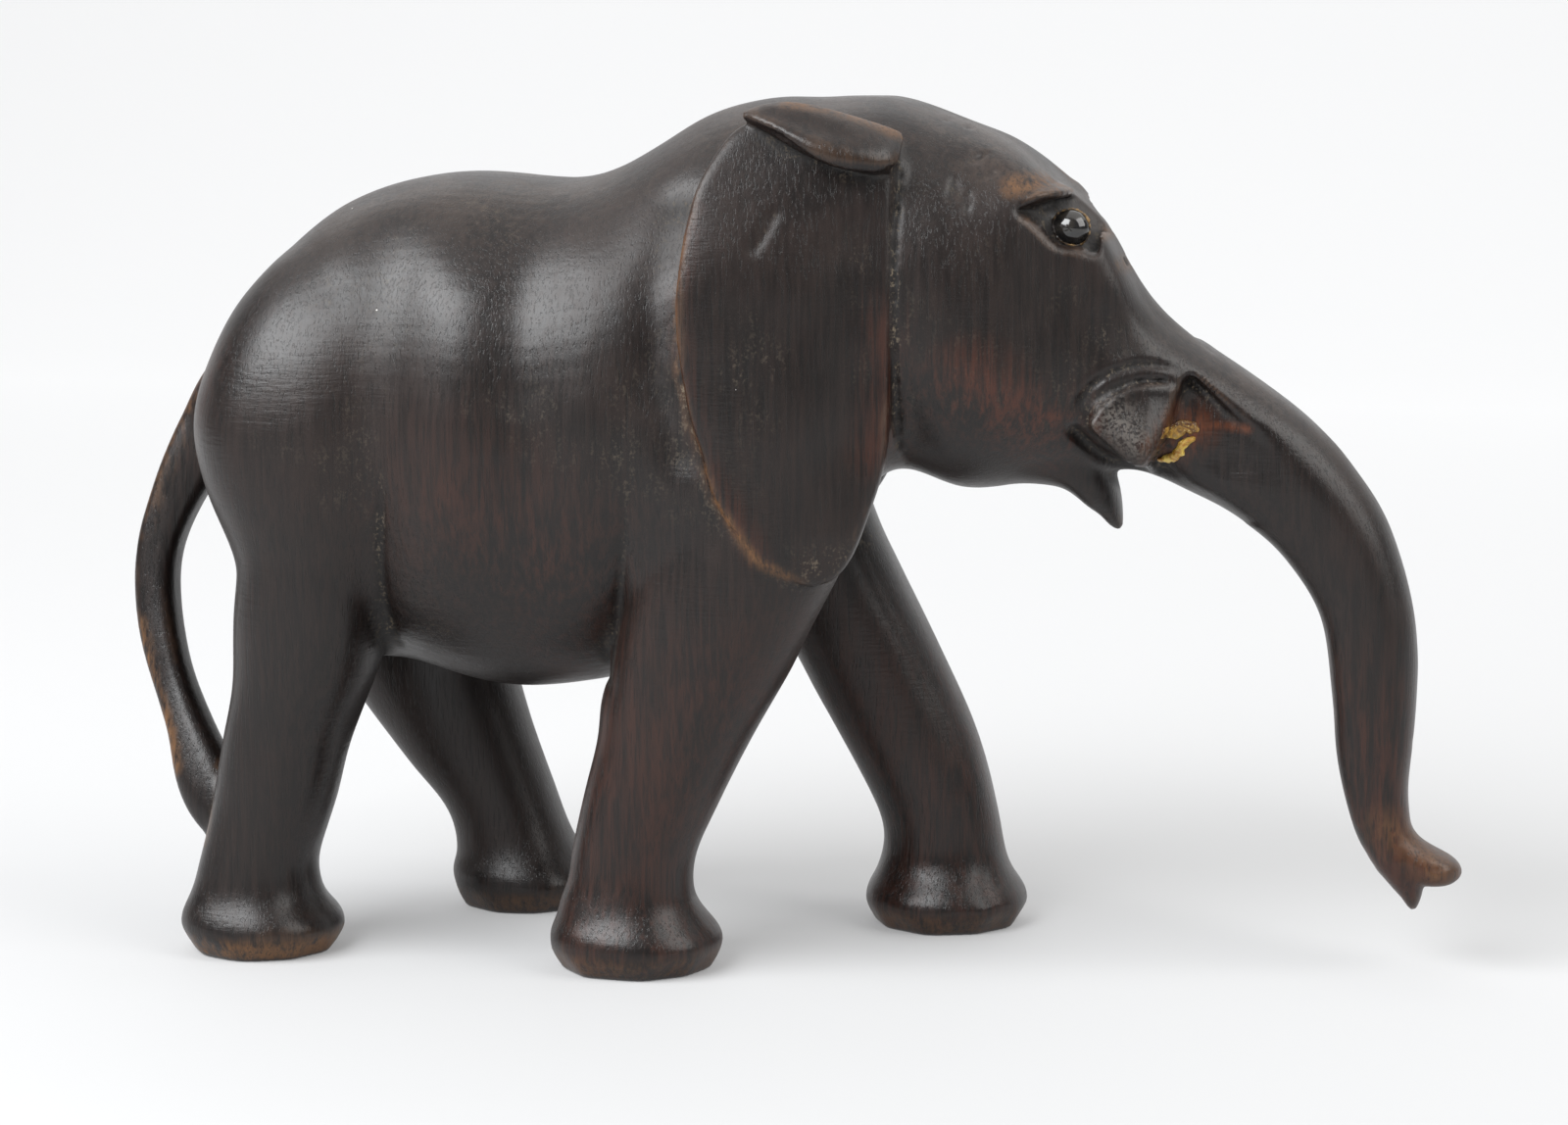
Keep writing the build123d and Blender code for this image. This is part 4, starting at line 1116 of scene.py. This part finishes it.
marks_and_shade, stains, painted_top_highlight = paint(V, n)
add_mesh("carved_block", V, Q, "carved_body", wood_material(), {"marks_and_shade": marks_and_shade, "stains": stains, "painted_top_highlight": painted_top_highlight})
bead_m, bed_m, glue_m = bead_material(), bedding_material(), glue_material()
for side, tag in ((-1, "right"), (1, "left")):
    v, f = bead_mesh(side)
    add_mesh("bead_" + tag, v, f, "eye_bead_" + tag, bead_m)
    v, f = bedding_mesh(side)
    add_mesh("bedding_ring_" + tag, v, f, "eye_bedding_" + tag, bed_m)
    v, f = glue_mesh(side)
    add_mesh("glue_crust_" + tag, v, f, "tusk_glue_" + tag, glue_m)


# ---- camera, light, floor --------------------------------------------------
def stage_all():
    tgt = Vector((0.00015, 0, 0.0627))
    a, e, dist = math.radians(11.5), math.radians(8.0), 0.650
    back = Vector((math.sin(a) * math.cos(e), -math.cos(a) * math.cos(e), math.sin(e)))
    cam = bpy.data.cameras.new("camera")
    cam.sensor_width = 36
    cam.lens = 92.14
    cam.clip_start, cam.clip_end = 0.01, 20
    co = bpy.data.objects.new("camera", cam)
    co.location = tgt + back * dist
    co.rotation_euler = back.to_track_quat("Z", "Y").to_euler()
    bpy.context.scene.collection.objects.link(co)
    bpy.context.scene.camera = co

    # seamless sweep
    prof = [(-1.6, 0.0), (0.9, 0.0)]
    for i in range(1, 13):
        t = math.radians(90 * i / 12)
        prof.append((0.9 + 0.6 * math.sin(t), 0.6 - 0.6 * math.cos(t)))
    prof.append((1.5, 2.2))
    v, f = [], []
    for y, z in prof:
        v += [(-2.4, y, z), (2.4, y, z)]
    for i in range(len(prof) - 1):
        f.append((2 * i, 2 * i + 1, 2 * i + 3, 2 * i + 2))
    me = bpy.data.meshes.new("sweep")
    me.from_pydata(v, [], f)
    for p in me.polygons:
        p.use_smooth = True
    so = bpy.data.objects.new("sweep", me)
    bpy.context.scene.collection.objects.link(so)
    m = bpy.data.materials.new("paper")
    m.use_nodes = True
    b = m.node_tree.nodes["Principled BSDF"]
    b.inputs["Base Color"].default_value = (0.40, 0.40, 0.402, 1)
    b.inputs["Emission Color"].default_value = (0.99, 0.995, 1.0, 1)
    tc = m.node_tree.nodes.new("ShaderNodeTexCoord")
    sx = m.node_tree.nodes.new("ShaderNodeSeparateXYZ")
    mr = m.node_tree.nodes.new("ShaderNodeMapRange")
    mr.inputs[1].default_value, mr.inputs[2].default_value = -0.1, 0.9
    mr.inputs[3].default_value, mr.inputs[4].default_value = 0.18, 0.53
    m.node_tree.links.new(tc.outputs["Object"], sx.inputs[0])
    m.node_tree.links.new(sx.outputs[1], mr.inputs[0])
    m.node_tree.links.new(mr.outputs[0], b.inputs["Emission Strength"])
    b.inputs["Roughness"].default_value = 0.75
    b.inputs["Specular IOR Level"].default_value = 0.2
    me.materials.append(m)

    def lamp(name, loc, aim, sx, sy, power, col=(1, 1, 1)):
        l = bpy.data.lights.new(name, "AREA")
        l.shape = "RECTANGLE"
        l.size, l.size_y, l.energy, l.color = sx, sy, power, col
        o = bpy.data.objects.new(name, l)
        o.location = loc
        o.rotation_euler = (Vector(loc) - Vector(aim)).to_track_quat("Z", "Y").to_euler()
        bpy.context.scene.collection.objects.link(o)

    lamp("top_left", (-0.50, -0.59, 0.68), (-0.01, 0, 0.07), 1.0, 0.55, 18.0, (0.97, 0.985, 1.0))
    lamp("top_right", (0.85, -0.22, 0.62), (0.04, 0, 0.08), 0.8, 0.7, 6.5, (1.0, 0.99, 0.97))
    lamp("overhead", (0.05, 0.25, 1.1), (0, 0.05, 0.0), 2.5, 1.7, 11.0)
    w = bpy.data.worlds.new("tent")
    bpy.context.scene.world = w
    w.use_nodes = True
    bg = w.node_tree.nodes["Background"]
    bg.inputs[0].default_value = (0.98, 0.99, 1.0, 1)
    bg.inputs[1].default_value = 0.20
    vs = bpy.context.scene.view_settings
    vs.view_transform = "Standard"
    vs.look = "None"


stage_all()
